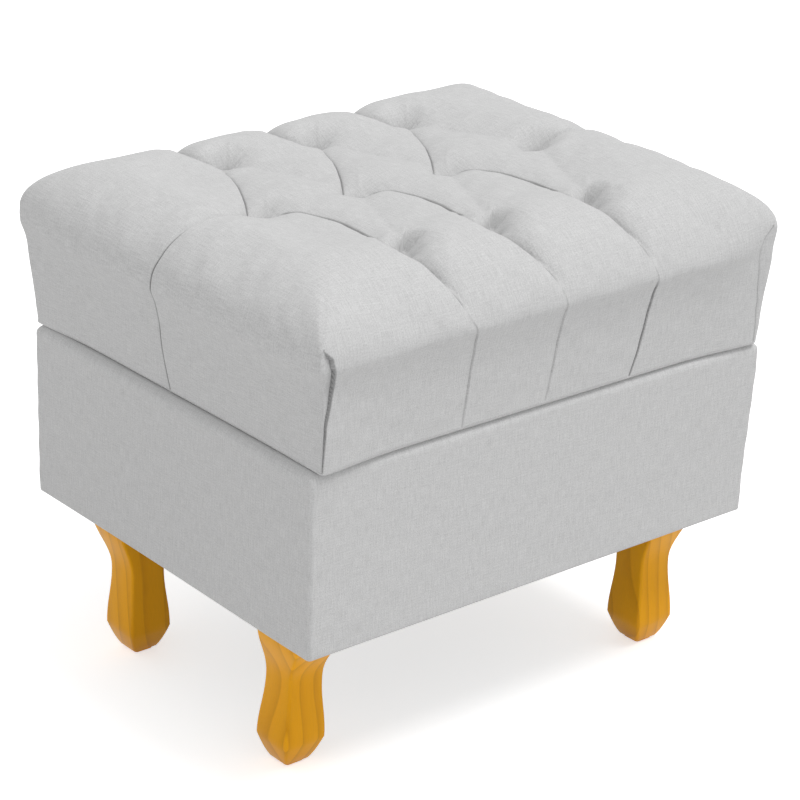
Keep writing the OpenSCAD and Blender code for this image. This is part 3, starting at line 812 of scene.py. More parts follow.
def smooth_form(net):
    """The cushion's form without its tufts and folds."""
    x, y, ring = net[:, 0], net[:, 1], net[:, 2]
    shoulder, side, turn, hem, lining = shares(ring)
    on_x, on_y = np.abs(x) > FIELD_X - 1e-6, np.abs(y) > FIELD_Y - 1e-6
    out = section_out(shoulder, side, turn) - (SEAT_HEM - LOW_TURN) * hem
    out = np.where(lining > 1, BOARD_X + BOARD_GAP - FIELD_X, out)
    # The net widens towards the corners, which are nearly square
    lean_x = np.where(on_x, 1, step((np.abs(x) / FIELD_X - 0.70) / 0.30))
    lean_y = np.where(on_y, 1, step((np.abs(y) / FIELD_Y - 0.70) / 0.30))
    ringed = ring > 0
    px = np.abs(x) + np.where(ringed, out * lean_x, 0)
    py = np.abs(y) + np.where(ringed, out * lean_y, 0)
    # The back and the corners are fuller than the front
    full = np.where(y > 0, 0.4, 0.0)
    full = full + (1 - full) * step(1 - (SEAT_X - px) / 0.085)
    reach_x = np.where(x > 0, REACH_X - 0.010, REACH_X)
    share_x = np.maximum(shoulder_share(1 - (SEAT_X - px) / reach_x, 1.0), 1e-3)
    share_y = np.maximum(shoulder_share(1 - (SEAT_Y - py) / REACH_Y, full), 1e-3)
    share = (share_x ** -CORNER_POWER + share_y ** -CORNER_POWER - 1) ** (-1 / CORNER_POWER)
    # The right front corner is flatter, and the right end plumper round its middle
    from_corner = (SEAT_X - px) + (SEAT_Y - py)
    share = share * (1 - np.where((x > 0) & (y < 0), 0.07 * bell(from_corner, 0.08), 0))
    z = section_height(side, turn, shoulder_height(np.where(shoulder >= 1, 0, share)))
    plump = bell(px - 0.182, 0.030) * (1 - step((np.abs(y + 0.02) - 0.06) / 0.09))
    z = z + np.where((x > 0) & (side == 0), 0.0025 * plump, 0)
    z = np.where(lining > 0, np.where(lining > 2, BOARD_TOP + BOARD_GAP, BOARD_LOW - BOARD_GAP), z)
    # Corners rounded in plan
    far_x, far_y = FIELD_X + out, FIELD_Y + out
    bend = PLAN_BEND
    ca = np.clip((px - far_x + bend) / bend, 0, 1)
    cb = np.clip((py - far_y + bend) / bend, 0, 1)
    corner = (ca > 0) & (cb > 0) & ringed
    rx = far_x - bend + bend * ca * np.sqrt(1 - cb ** 2 / 2)
    ry = far_y - bend + bend * cb * np.sqrt(1 - ca ** 2 / 2)
    px, py = np.where(corner, rx, px), np.where(corner, ry, py)
    more_x, more_y = stuffed_edge(net, np.clip(far_x - px, 0, 1), np.clip(far_y - py, 0, 1))
    return np.stack([(px + more_x) * np.sign(x), (py + more_y) * np.sign(y), z], axis=1)


def stuffed_edge(net, from_x, from_y):
    """How far points stand out further along X and Y, at these distances from the cushion's far sides:
    between its corners the upper edge bulges, and the folded cloth makes the corners stout."""
    shoulder, side, turn, hem, lining = shares(net[:, 2])
    ringed = net[:, 2] > 0
    high = np.where(ringed, step(shoulder) * (0.25 + 0.75 * step((0.45 - side) / 0.4)), 0)
    bulge = np.where(turn > 0, 0, BULGE * high * (1 - step(1 - np.maximum(from_x, from_y) / 0.055)))
    more_x, more_y = np.where(from_x < from_y, bulge, 0), np.where(from_x < from_y, 0, bulge)
    stout = np.where(ringed, step(shoulder), 0) * bell(from_x + from_y, 0.045)
    stout = np.where(turn > 0, stout * (1 - hem), stout) * (lining == 0)
    edge = bell(side * (EDGE_Z - PART_Z), SOFT_REACH) * shoulder ** 4
    for (sx, sy), (out_x, out_y) in STOUT.items():
        here = (np.sign(net[:, 0]) == sx) & (np.sign(net[:, 1]) == sy)
        less = SOFT_EDGE[(sx, sy)] * edge
        more_x = more_x + np.where(here, (out_x - less) * stout, 0)
        more_y = more_y + np.where(here, (out_y - less) * stout, 0)
    return more_x, more_y


def laid_flat(net, places, run, sideways):
    """Where points lie on the cloth when it is spread flat. Past the field they run out by run, along X
    where they are sideways and along Y elsewhere."""
    x, y, ringed = net[:, 0], net[:, 1], net[:, 2] > 0
    u = np.where(ringed & sideways, np.sign(x) * (FIELD_X + run), np.where(ringed, places[:, 0], x))
    v = np.where(ringed & ~sideways, np.sign(y) * (FIELD_Y + run), np.where(ringed, places[:, 1], y))
    return u, v


def cloth_places(net, places):
    """Where each point lies on the cloth when it is spread flat."""
    sideways = (np.abs(net[:, 0]) > FIELD_X - 1e-6) & (np.abs(net[:, 1]) < FIELD_Y - 1e-6)
    return laid_flat(net, places, cloth_run(net[:, 2]), sideways)


def curve(points, pieces=5):
    """A smooth path through a few points."""
    points = np.array(points, float)
    ends = np.concatenate([[2 * points[0] - points[1]], points, [2 * points[-1] - points[-2]]])
    out = []
    for i in range(1, len(ends) - 2):
        a, b, c, d = ends[i - 1:i + 3]
        for t in np.linspace(0, 1, pieces, endpoint=False):
            out.append(0.5 * (2 * b + (c - a) * t + (2 * a - 5 * b + 4 * c - d) * t * t
                              + (3 * b - a - 3 * c + d) * t ** 3))
    out.append(points[-1])
    return np.array(out)


def beside(u, v, path, reach=0.05):
    """Signed distance to a path, plus on its left, and the share of its length reached."""
    best = np.full(len(u), 1.0)
    side, share = np.ones(len(u)), np.zeros(len(u))
    lengths = lengths_along(path)
    near = np.flatnonzero((u > path[:, 0].min() - reach) & (u < path[:, 0].max() + reach)
                          & (v > path[:, 1].min() - reach) & (v < path[:, 1].max() + reach))
    un, vn = u[near], v[near]
    got, got_side, got_share = best[near], side[near], share[near]
    for i in range(len(path) - 1):
        (ax, ay), (bx, by) = path[i], path[i + 1]
        dx, dy = bx - ax, by - ay
        t = np.clip(((un - ax) * dx + (vn - ay) * dy) / (dx * dx + dy * dy), 0, 1)
        ex, ey = un - ax - t * dx, vn - ay - t * dy
        gap = np.hypot(ex, ey)
        closer = gap < got
        got = np.where(closer, gap, got)
        got_side = np.where(closer, np.where(dx * ey - dy * ex > 0, 1, -1), got_side)
        reached = (lengths[i] + t * (lengths[i + 1] - lengths[i])) / lengths[-1]
        got_share = np.where(closer, reached, got_share)
    best[near], side[near], share[near] = got, got_side, got_share
    return best * side, share


def nearest(u, v, paths, reach=0.05):
    """Distance to the nearest of some paths."""
    return np.min([np.abs(beside(u, v, path, reach)[0]) for path in paths], axis=0)


# Where the side seams run on the flat cloth, from the tufts over the shoulder and down. The front and back
# ones are places along X and away from the middle, the others away from the middle and along Y.
FRONT_SEAMS = [
    [(-0.094, 0.117), (-0.104, 0.124), (-0.110, 0.137), (-0.112, 0.155), (-0.110, 0.175), (-0.104, 0.200),
     (-0.096, 0.222), (-0.089, 0.235), (-0.085, 0.255), (-0.086, 0.280), (-0.088, 0.305), (-0.091, 0.334)],
    [(-0.002, 0.117), (-0.012, 0.124), (-0.018, 0.137), (-0.020, 0.155), (-0.017, 0.175), (-0.008, 0.200),
     (0.001, 0.222), (0.005, 0.235), (0.007, 0.258), (0.0035, 0.292), (-0.002, 0.323), (-0.004, 0.334)],
    [(0.104, 0.117), (0.094, 0.124), (0.088, 0.137), (0.085, 0.155), (0.086, 0.175), (0.093, 0.198),
     (0.100, 0.218), (0.106, 0.238), (0.1055, 0.263), (0.100, 0.297), (0.091, 0.325), (0.088, 0.334)]]
BACK_SEAMS = [
    [(-0.093, 0.119), (-0.105, 0.121), (-0.115, 0.130), (-0.119, 0.145), (-0.114, 0.168), (-0.108, 0.190),
     (-0.103, 0.230), (-0.099, 0.280), (-0.101, 0.334)],
    [(0.003, 0.119), (-0.009, 0.121), (-0.019, 0.130), (-0.023, 0.145), (-0.018, 0.168), (-0.011, 0.190),
     (-0.007, 0.230), (-0.003, 0.280), (-0.005, 0.334)],
    [(0.103, 0.119), (0.091, 0.121), (0.081, 0.130), (0.075, 0.145), (0.079, 0.168), (0.087, 0.190),
     (0.093, 0.230), (0.098, 0.280), (0.096, 0.334)]]
LEFT_SEAM = [(0.141, 0.0), (0.170, -0.004), (0.200, -0.005), (0.225, -0.003), (0.248, 0.002), (0.262, 0.007),
             (0.276, 0.010), (0.300, 0.012), (0.334, 0.009), (0.362, 0.000), (0.372, -0.004)]
RIGHT_SEAM = [(0.151, 0.0), (0.180, -0.004), (0.215, -0.008), (0.245, -0.006), (0.275, 0.001), (0.310, 0.003),
              (0.345, -0.002), (0.372, -0.004)]

FRONT_PATHS = [curve([(u, -v) for u, v in seam]) for seam in FRONT_SEAMS]
BACK_PATHS = [curve(seam) for seam in BACK_SEAMS]
LEFT_PATH, RIGHT_PATH = curve([(-u, v) for u, v in LEFT_SEAM]), curve(RIGHT_SEAM)
SIDE_PATHS = FRONT_PATHS + BACK_PATHS + [LEFT_PATH, RIGHT_PATH]


def diagonal(a, b, bow):
    """A pleat from one tuft to another, bowed sideways, most of all before its middle."""
    a, b = np.array(a), np.array(b)
    across = np.array((a[1] - b[1], b[0] - a[0])) / np.hypot(*(b - a))
    return curve([a + (b - a) * t + across * bow * math.sin(math.pi * t ** 0.75)
                  for t in (0, 0.12, 0.3, 0.5, 0.75, 1)])


def pleats():
    """Crisp pleats from the back tufts to the middle ones and on to the front ones, and the soft valleys
    that cross them. The crisp ones start and end beside the tufts."""
    crisp_back, crisp_front, soft = [], [], []
    starts, ends = (0.015, 0.006, 0.008), (0.016, 0.014, 0.012)
    for i in range(3):
        back, middle, front = BACK_TUFTS[i][0], MIDDLE_TUFTS[i][0], FRONT_TUFTS[i][0]
        crisp_back.append(diagonal((back - starts[i], OUTER_ROW - 0.002), (middle - ends[i], 0.0), 0.008))
        crisp_front.append(diagonal((middle + 0.012, -0.005), (front - 0.018, -OUTER_ROW - 0.006), 0.014))
        soft.append(diagonal(BACK_TUFTS[i], MIDDLE_TUFTS[i + 1], 0.0))
        soft.append(diagonal(MIDDLE_TUFTS[i + 1], FRONT_TUFTS[i], 0.0))
    return crisp_back, crisp_front, soft


PLEATS_BACK, PLEATS_FRONT, SOFT_VALLEYS = pleats()
TOP_PATHS = PLEATS_BACK + PLEATS_FRONT + SOFT_VALLEYS


# The hollows behind the side seams: which side of them is over, and how deep they are at runs of cloth
# from the cushion's middle
LONG_RUNS = (0.120, 0.150, 0.178, 0.198, 0.218, 0.235)
SEAM_HOLLOWS = [
    (FRONT_PATHS, -1, LONG_RUNS, (0.0205, 0.0198, 0.0120, 0.0042, 0.0008, 0.0003)),
    (BACK_PATHS, 1, LONG_RUNS, (0.0180, 0.0160, 0.0105, 0.0060, 0.0022, 0.0005)),
    ([LEFT_PATH], 1, (0.145, 0.175, 0.215, 0.262), (0.0110, 0.0060, 0.0025, 0.0004)),
    ([RIGHT_PATH], -1, (0.155, 0.185, 0.225, 0.262), (0.0130, 0.0090, 0.0040, 0.0004))]


def pleat_hollow(s, deep, over_share, over_reach, under_reach, flat=0.0, lip_size=0.0036):
    """How far the cloth sinks beside a pleat: under it, where s is above 0, it rises slowly, and over it
    the cloth stays high and turns in at its lip."""
    over = over_share * hollow(-s / over_reach) + (1 - over_share) * (1 - lip(-s, lip_size))
    return deep * np.where(s > 0, hollow((s - flat) / under_reach), over)


def hollow(t):
    """A valley between two round buns: 1 in its line, 0 on the buns."""
    return 1 - np.sqrt(1 - (1 - np.clip(t, 0, 1)) ** 2)


def mix(a, b, share):
    """Runs from a to b as the share runs from 0 to 1."""
    return a + (b - a) * share


def big_form(net, places):
    """How far the cloth sinks between the buns, at the tufts and behind the side seams."""
    u, v = cloth_places(net, places)
    _, side, turn, _, lining = shares(net[:, 2])
    sink = SOFT_VALLEY * hollow(nearest(u, v, SOFT_VALLEYS) / BUN)
    off_x = np.clip(np.abs(u) - np.where(u > 0, SINK_RIGHT, SINK_LEFT), 0, 1)
    off_y = np.clip(np.abs(v) - SINK_DEPTH, 0, 1)
    field = FIELD_SINK * (1 - step(np.hypot(off_x, off_y) / SINK_SOFT))
    for path in PLEATS_BACK:
        sink = np.maximum(sink, pleat_hollow(beside(u, v, path)[0], 0.0055, over_share=0.6,
                                             over_reach=0.016, under_reach=0.030))
    for path in PLEATS_FRONT:
        sink = np.maximum(sink, pleat_hollow(beside(u, v, path)[0], 0.0075, over_share=0.75,
                                             over_reach=0.020, under_reach=0.034, lip_size=0.0020))
    for paths, over, runs, depths in SEAM_HOLLOWS:
        along = np.abs(v) if len(paths) > 1 else np.abs(u)
        depth = np.interp(along, runs, depths)
        near_tufts = step((0.190 - along) / 0.05) if paths is FRONT_PATHS else 0
        for path in paths:
            gap = beside(u, v, path)[0] * -over
            lean = 1 - np.sin(math.pi / 2 * np.clip((gap - 0.003) / 0.021, 0, 1))
            round_side = pleat_hollow(gap, 1.0, over_share=0.35 + 0.30 * near_tufts, over_reach=0.024,
                                      under_reach=0.027, flat=0.005)
            shape = np.where(gap > 0, mix(round_side, lean, near_tufts), round_side)
            sink = np.maximum(sink, depth * shape)
    sink = np.minimum(sink + field, np.maximum(sink, POCKET - 0.003))
    sink = sink + (POCKET - sink) * pocket_pull(u, v)
    sink = sink + np.where(turn > 0, 0, seam_draw(u, v) * (1 - side ** 6))
    uneven = 0.0007 * waves(u, v, 0.09, 5) + 0.0004 * waves(u, v, 0.045, 8)
    uneven = uneven * (1 - step((side - 0.8) / 0.2))
    return np.where((turn > 0) | (lining > 0), 0, sink - uneven)


def pocket_pull(u, v):
    """How far each point is drawn down to the bottom of its pocket, from 0 to 1. The pockets are steep on
    the side towards the front, and those of the front row are drawn out along their seams."""
    pull = 0
    for x, y in TUFTS:
        a, b = u - x, v - (y - 0.003)
        if y < 0:
            a, b = a + 0.004, b + 0.011
            a, b = a * np.where(a > 0, 1.15, 1.0), b * np.where(b > 0, 1.15, 0.75)
        else:
            b = np.where(b > 0, b, b * 1.25)
        t = np.clip((np.hypot(a, b) - 0.002) / POCKET_REACH, 0, 1)
        pull = np.maximum(pull, 0.3 * (1 - t) ** 1.4 + 0.7 * hollow(t))
    return pull


def seam_draw(u, v):
    """How far the side seams draw the cloth in. Seen from the front, the front ones draw it in on their
    left and leave it proud on their right. The others draw it in on both sides."""
    draw = 0
    for path in FRONT_PATHS:
        s, share = beside(u, v, path)
        grow = step((share - 0.38) / 0.25) * (1 - 0.55 * share)
        left, right = np.where(s < 0, np.exp(s / 0.030), 0), np.where(s > 0, np.exp(-s / 0.02), 0)
        draw = draw + grow * (0.0012 * left - 0.0004 * right)
    for path in BACK_PATHS + [LEFT_PATH, RIGHT_PATH]:
        s, share = beside(u, v, path)
        grow = step((share - 0.38) / 0.12) * (1 - 0.55 * share)
        draw = draw + grow * 0.0016 * np.exp(-np.abs(s) / 0.02)
    return draw


def lip(s, round_off):
    """The rounded edge of the cloth over a slit, from 0 in its line to 1 at round_off from it."""
    return np.sqrt(np.clip(1 - (1 - np.clip(s / round_off, 0, 1)) ** 2, 0, 1))


def fold(s, strength, over, proud, sunk, proud_reach, sunk_reach, slit, width=0.0008, round_off=0.0016):
    """A crisp pleat: the cloth over it stands proud and turns in, and the cloth under it slips beneath."""
    s = s * over
    upper = proud * np.exp(-s / proud_reach) - slit * (1 - lip(s, round_off))
    lower = -sunk * np.exp(s / sunk_reach) - slit * bell(s, width)
    return strength * np.where(s > 0, upper, lower)


def fade(share, start, end, soft=0.06):
    """1 between two shares of a line's length, running out over soft before and after them."""
    return step((share - start) / soft + 1) * step((end - share) / soft + 1)


# A crisp line in the cloth: its path, the shares of its length where it starts and ends, which side is
# over (1 is its left, -1 its right), how far that side stands proud and the other is sunk, how far each
# of these reaches, how deep the slit is, how dark the shade painted in it is, and how far under the line
# that painted shade lies, where the cloth under it is seen
Line = namedtuple("Line", "path start end over proud sunk proud_reach sunk_reach slit dark seen")


def fine_lines():
    """Every crisp line, apart from the corner pleats and the rims of the pockets."""
    lines = [Line(path, 0.04, 0.95, -1, 0.0010, 0.0006, 0.008, 0.004, 0.0012, 0.45, 0.0001)
             for path in PLEATS_BACK]
    lines += [Line(path, 0.04, 0.76, -1, 0.0006, 0.0002, 0.008, 0.004, 0.0020, 0.62, 0.0030)
              for path in PLEATS_FRONT]
    # The front seams turn over on the shoulder, where their line runs out. Darks are the shade painted in
    # their slits
    slits, darks = (0.0005, 0.0004, 0.0020), (0.12, 0.08, 0.6)
    for path, slit, dark in zip(FRONT_PATHS, slits, darks):
        lines.append(Line(path, 0.08, 0.42, -1, 0.0010, 0.0006, 0.008, 0.004, 0.0010, 0.25, 0.0020))
        lines.append(Line(path, 0.60, 1.0, 1, 0.0002, 0.0003, 0.008, 0.004, slit, dark, 0.0002))
    lines += [Line(path, 0.05, 1.0, 1, 0.0008, 0.0004, 0.010, 0.006, 0.0018, 0.5, 0.0006)
              for path in BACK_PATHS]
    lines.append(Line(LEFT_PATH, 0.20, 1.0, 1, 0.0006, 0.0005, 0.010, 0.006, 0.0018, 0.70, 0.0011))
    lines.append(Line(RIGHT_PATH, 0.10, 1.0, -1, 0.0008, 0.0006, 0.010, 0.006, 0.0016, 0.45, 0.0002))
    return lines


def painted_shade_in(net, places):
    """How much shade is painted into the cloth's colour at each point, from 0 to 1: along the crisp lines,
    beside the corner pleats and in the pockets.
    """
    u, v = cloth_places(net, places)
    turn = shares(net[:, 2])[2]
    inside = np.zeros(len(u))
    for line in fine_lines():
        s, share = beside(u, v, line.path, 0.012)
        s = s * -line.over
        # Painted shade along each line: on the cloth under it, from where that side is seen, and a thin line
        # on the cloth over it
        under, over = bell(np.maximum(s - line.seen, 0), 0.0009), bell(s, 0.0005)
        dark = line.dark * np.where(s > 0, under, over) * fade(share, line.start, line.end)
        inside = np.maximum(inside, dark)
    # Painted shade in each corner pleat's line and on the cloth under it, and in the deep pockets
    _, gap, under = corner_pleats(net, places)
    pockets = np.clip(big_form(net, places) / POCKET, 0, 1) ** 1.5 * (net[:, 2] < 1)
    for dark in (0.55 * bell(gap, 0.0008), 0.22 * under, 0.16 * pockets):
        inside = np.maximum(inside, dark)
    return np.where(turn > 0, 0, inside)


def tuft_rims():
    """The short straight rim in front of each tuft, under which the pocket goes deep."""
    return [curve([(x - 0.014, y - 0.0035), (x, y - 0.0045), (x + 0.014, y - 0.0055)]) for x, y in TUFTS]


def gathers():
    """Thin soft folds that run back from each pocket, two to the left and one to the right."""
    lines = []
    for tuft_x, tuft_y in TUFTS:
        for k, (dx, dy) in enumerate(((-0.030, 0.026), (-0.022, 0.034), (0.026, 0.030))):
            x, y = tuft_x - 0.008 + 0.006 * k, tuft_y + 0.001
            lines.append(curve([(x, y), (x + dx * 0.5, y + dy * 0.55 + 0.001), (x + dx, y + dy)]))
    return lines


# The corner pleats: where their line runs beside the corner at heights on the side, how much further it
# runs at each corner, and how strong each is
PLEAT_HEIGHTS = (0.301, 0.340, 0.372, 0.388, 0.399, 0.4065)
PLEAT_LINE = (0.004, 0.008, 0.015, 0.018, 0.015, 0.006)
CORNER_PLEATS = {(-1, -1): (0.0, 1.0), (1, -1): (0.0015, 0.35), (-1, 1): (0.001, 1.0), (1, 1): (-0.001, 1.0)}


def corner_pleats(net, places):
    """Pleats down the four corners: how far the cloth stands out beside each, the distance to it, and how
    much shade is painted on the cloth that lies under it."""
    x, y, ring = net[:, 0], net[:, 1], net[:, 2]
    shoulder, side, turn, _, _ = shares(ring)
    far_x = FIELD_X + np.where(side > 0, side_out(1 - side), RIM - rim_distance(shoulder))
    far_y = far_x - FIELD_X + FIELD_Y
    w = (far_x - np.abs(places[:, 0])) - (far_y - np.abs(places[:, 1]))
    z = places[:, 2]
    rise, closest, under = np.zeros(len(x)), np.full(len(x), 1.0), np.zeros(len(x))
    line = np.interp(z, PLEAT_HEIGHTS, PLEAT_LINE)
    shape = step((PLEAT_HEIGHTS[-1] - z) / 0.006) * (1 - step(turn / 0.3))
    shape = shape * (0.55 + 0.45 * bell(z - 0.388, 0.022))
    for (sx, sy), (further, strength) in CORNER_PLEATS.items():
        here = (np.sign(x) == sx) & (np.sign(y) == sy) & (ring > 0) & (np.abs(w) < 0.05)
        s = w - line - further
        deep = strength * shape
        add = fold(s, deep, over=1, proud=0.0008, sunk=0.0034, proud_reach=0.010, sunk_reach=0.011,
                   slit=0.0012, width=0.0011, round_off=0.0011)
        rise = rise + np.where(here, add, 0)
        closest = np.where(here & (z < 0.408), np.minimum(closest, np.abs(s)), closest)
        # Shade painted on the cloth under the pleat, fading away from its line
        shade = deep * bell(z - 0.372, 0.030) * np.exp(s / 0.007)
        under = np.where(here & (s < 0), shade, under)
    return rise, closest, under


def line_gap(net, places):
    """Distance to the nearest crisp line. The gathers are soft, so they count as further away."""
    u, v = cloth_places(net, places)
    crisp = nearest(u, v, [line.path for line in fine_lines()] + tuft_rims(), 0.006)
    soft = nearest(u, v, gathers(), 0.006) + 0.0015
    return np.minimum(corner_pleats(net, places)[1], np.minimum(crisp, soft))


# Wrinkles on the left side beside its front corner, as places away from the middle and along Y
WRINKLES = [[(0.240, -0.141), (0.262, -0.166), (0.292, -0.208)],
            [(0.262, -0.172), (0.292, -0.190), (0.318, -0.210)]]


def small_form(net, places):
    """Crisp pleats, pocket rims, gathers and wrinkles, as height above the big form."""
    u, v = cloth_places(net, places)
    turn = shares(net[:, 2])[2]
    rise = np.zeros(len(u))
    for line in fine_lines():
        s, share = beside(u, v, line.path, 0.04)
        strength = fade(share, line.start, line.end) * (np.abs(s) < 0.04)
        rise = rise + fold(s, strength, line.over, line.proud, line.sunk, line.proud_reach,
                           line.sunk_reach, line.slit)
    for path in tuft_rims():
        s, share = beside(u, v, path, 0.03)
        strength = step(share / 0.12) * step((1 - share) / 0.12) * (np.abs(s) < 0.03)
        rise = rise + fold(s, strength, over=-1, proud=0.0008, sunk=0.0012, proud_reach=0.007,
                           sunk_reach=0.006, slit=0.0020, width=0.0012, round_off=0.0020)
    for path in gathers():
        s, share = beside(u, v, path, 0.02)
        rise = rise + 0.0006 * bell(s, 0.0020) * step(share / 0.2) * step((1 - share) / 0.6)
    for points in WRINKLES:
        s, share = beside(u, v, curve([(-a, b) for a, b in points]), 0.04)
        wave = bell(s, 0.0055) - 0.7 * bell(s - 0.010, 0.006)
        rise = rise - 0.0011 * wave * step(share / 0.35) * (np.abs(s) < 0.04)
    rise = np.where(turn > 0, 0, rise)
    return rise + corner_pleats(net, places)[0]


def make_net():
    """A grid over the field, drawn down ring by ring for the side."""
    clear_selection()
    bpy.ops.mesh.primitive_grid_add(x_subdivisions=NET_X, y_subdivisions=NET_Y, size=2)
    piece = added("tufted_cushion")
    piece.scale = (FIELD_X, FIELD_Y, 1)
    bpy.ops.object.transform_apply(location=True, rotation=True, scale=True)
    bpy.ops.object.mode_set(mode="EDIT")
    bpy.ops.mesh.select_mode(type="EDGE")
    bpy.ops.mesh.select_all(action="SELECT")
    bpy.ops.mesh.region_to_loop()
    for _ in range(RINGS):
        bpy.ops.mesh.extrude_edges_move(TRANSFORM_OT_translate={"value": (0, 0, -NET_STEP)})
    bpy.ops.mesh.edge_face_add()
    bpy.ops.object.mode_set(mode="OBJECT")
    net = points_of(piece)
    net[:, 2] = np.rint(-net[:, 2] / NET_STEP)
    keep(piece, "net", net)
    return piece


def keep(piece, name, values):
    """Keeps three values for each point in the piece itself, so that later cuts share them out."""
    layer = piece.data.attributes.get(name) or piece.data.attributes.new(name, "FLOAT_VECTOR", "POINT")
    layer.data.foreach_set("vector", values.astype(np.float32).ravel())


def kept(piece, name):
    values = np.zeros(len(piece.data.vertices) * 3, np.float32)
    piece.data.attributes[name].data.foreach_get("vector", values)
    return values.reshape(-1, 3).astype(float)


# How the cloth behaves while it is blown up, for how many frames, and how far it may move
LINEN_CLOTH = dict(quality=6, mass=0.3, tension_stiffness=18, compression_stiffness=18, shear_stiffness=6,
                   bending_stiffness=0.4, use_pressure=True, uniform_pressure_force=4, shrink_min=-0.012,
                   vertex_group_mass="held", pin_stiffness=1.5)
BLOW_FRAMES, MOST_BLOWN = 20, 0.0032
# How often that movement is evened out, and how near the crisp lines the net is cut finer, twice
EVEN_ROUNDS, FINER, FINEST = 12, 0.0045, 0.0022


def inflate(piece, net):
    """Blows the cloth up a little over the held pleats, tufts and lower edge, and returns how far each
    point moved."""
    rest = points_of(piece)
    u, v = cloth_places(net, rest)
    near = np.min([np.hypot(u - x, v - y) for x, y in TUFTS], axis=0)
    _, side, turn, _, _ = shares(net[:, 2])
    hold = np.max([0.8 * bell(nearest(u, v, TOP_PATHS), 0.005),
                   bell(near, 0.012),
                   0.7 * bell(nearest(u, v, SIDE_PATHS), 0.005),
                   0.6 * bell(rest[:, 2] - EDGE_Z, 0.006),
                   np.where(side > 0, 0.93 + 0.07 * step((side - 0.8) / 0.2), 0)], axis=0)
    hold = np.where(turn > 0, 1, hold)
    held = piece.vertex_groups.new(name="held")
    for i, weight in enumerate(hold):
        held.add([i], float(weight), "REPLACE")
    take(piece)
    cloth = piece.modifiers.new("cloth", "CLOTH")
    for key, value in LINEN_CLOTH.items():
        setattr(cloth.settings, key, value)
    cloth.settings.effector_weights.gravity = 0
    cloth.collision_settings.use_collision = False
    cloth.point_cache.frame_start, cloth.point_cache.frame_end = 1, BLOW_FRAMES
    scene = bpy.context.scene
    for f in range(BLOW_FRAMES):
        scene.frame_set(f + 1)
    bpy.ops.object.modifier_apply(modifier=cloth.name)
    scene.frame_set(1)
    moved = points_of(piece) - rest
    length = np.linalg.norm(moved, axis=1, keepdims=True)
    piece.vertex_groups.clear()
    return moved * np.minimum(1, MOST_BLOWN / np.maximum(length, 1e-9))


def evened(piece, values, rounds):
    """Values of the points, each evened out with its neighbours'."""
    edges = np.zeros(len(piece.data.edges) * 2, np.int32)
    piece.data.edges.foreach_get("vertices", edges)
    a, b = edges.reshape(-1, 2).T
    count = np.bincount(a, minlength=len(values)) + np.bincount(b, minlength=len(values))
    size = len(values)
    for _ in range(rounds):
        total = np.stack([np.bincount(a, values[b, k], size) + np.bincount(b, values[a, k], size)
                          for k in range(3)], axis=1)
        values = 0.5 * values + 0.5 * total / count[:, None]
    return values


def cut_finer(piece, reach):
    """Divides the faces near the crisp lines."""
    net = kept(piece, "net")
    gap = line_gap(net, smooth_form(net))
    take(piece)
    bpy.ops.object.mode_set(mode="EDIT")
    bpy.ops.mesh.select_mode(type="FACE")
    bpy.ops.mesh.select_all(action="DESELECT")
    mesh = bmesh.from_edit_mesh(piece.data)
    mesh.verts.ensure_lookup_table()
    for face in mesh.faces:
        face.select = bool(len(face.verts) == 4 and min(gap[vert.index] for vert in face.verts) < reach)
    bmesh.update_edit_mesh(piece.data)
    bpy.ops.mesh.subdivide(number_cuts=1, smoothness=0)
    bpy.ops.object.mode_set(mode="OBJECT")


def cloth_map(piece, net):
    """The cover is one cloth laid over the top and down all four sides."""
    corner = corners_of(piece)
    totals = np.zeros(len(piece.data.polygons), np.int32)
    piece.data.polygons.foreach_get("loop_total", totals)
    starts = np.concatenate([[0], np.cumsum(totals)[:-1]])
    mean_x, mean_y = (np.add.reduceat(np.abs(net[corner, k]), starts) / totals for k in (0, 1))
    sideways = np.repeat(FIELD_X - mean_x < FIELD_Y - mean_y, totals)
    run = cloth_run(net[:, 2])
    lay_cloth(piece, *laid_flat(net[corner], smooth_form(net)[corner], run[corner], sideways))


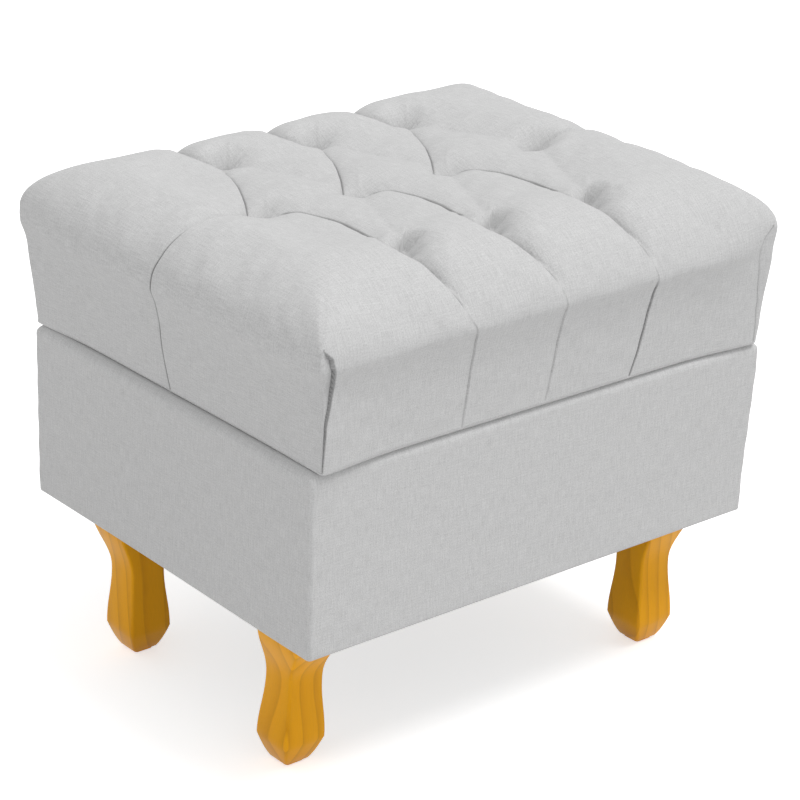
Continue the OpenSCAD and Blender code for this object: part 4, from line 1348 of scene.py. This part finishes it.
def cushion():
    """The tufted cushion: a net laid over its smooth form and blown up over its big form, then cut finer
    and given both forms."""
    piece = make_net()
    net = kept(piece, "net")
    form = smooth_form(net)
    place_points(piece, form)
    face_outwards(piece)
    place_points(piece, form - normals_of(piece) * big_form(net, form)[:, None])
    moved = inflate(piece, net)
    keep(piece, "moved", moved)
    place_points(piece, form)
    applied(piece, "SUBSURF", levels=1, render_levels=1, subdivision_type="SIMPLE")
    keep(piece, "moved", evened(piece, kept(piece, "moved"), EVEN_ROUNDS))
    cut_finer(piece, FINER)
    cut_finer(piece, FINEST)
    net, moved = kept(piece, "net"), kept(piece, "moved")
    form = smooth_form(net)
    place_points(piece, form)
    rise = small_form(net, form) - big_form(net, form)
    place_points(piece, form + normals_of(piece) * rise[:, None] + moved)
    # The shade painted into the cloth's colour, kept for each point for its material
    inside = painted_shade_in(net, form)
    keep(piece, "crease", np.stack([inside, inside, inside], axis=1))
    cloth_map(piece, net)
    smooth(piece)
    clad(piece, TUFTED_LINEN_WITH_PAINTED_SHADE, "linen", "seat_cover", "seat_foam")


# The stage and the light

# How strongly the white world lights the object, and how much the floor glows where it is seen
STUDIO_LIGHT = 0.62


def seen_white(tree):
    """1 where the camera or a reflection looks, and 0 for all other light."""
    rays = node(tree, "ShaderNodeLightPath")
    return maths(tree, "MAXIMUM", rays.outputs["Is Camera Ray"], rays.outputs["Is Glossy Ray"])


def stage():
    clear_selection()
    bpy.ops.mesh.primitive_plane_add(size=30)
    floor = added("floor")
    made, tree, shader = material("white_floor")
    set_sockets(shader, Base_Color=grey(0.8), Roughness=0.9, Specular_IOR_Level=0.1,
                Emission_Color=grey(1))
    glow = maths(tree, "MULTIPLY", seen_white(tree), STUDIO_LIGHT)
    tree.links.new(glow, shader.inputs["Emission Strength"])
    floor.data.materials.append(made)


def light():
    world = bpy.data.worlds.new("studio")
    bpy.context.scene.world = world
    world.use_nodes = True
    tree = world.node_tree
    background = tree.nodes["Background"]
    background.inputs["Color"].default_value = grey(1)
    strength = spread(tree, seen_white(tree), 0.0, 1.0, STUDIO_LIGHT, 1.0)
    tree.links.new(strength, background.inputs["Strength"])
    data = bpy.data.lights.new("key", "SUN")
    data.energy = 1.35
    data.angle = math.radians(24)
    key = bpy.data.objects.new("key", data)
    bpy.context.scene.collection.objects.link(key)
    to_light = Vector((0.22, -0.31, 0.92))
    key.rotation_euler = to_light.to_track_quat("Z", "Y").to_euler()


photo_camera()
finish_nodes()
base_box()
bottom_cloth()
legs()
cushion()
stage()
light()
bpy.context.scene.view_settings.view_transform = "Standard"
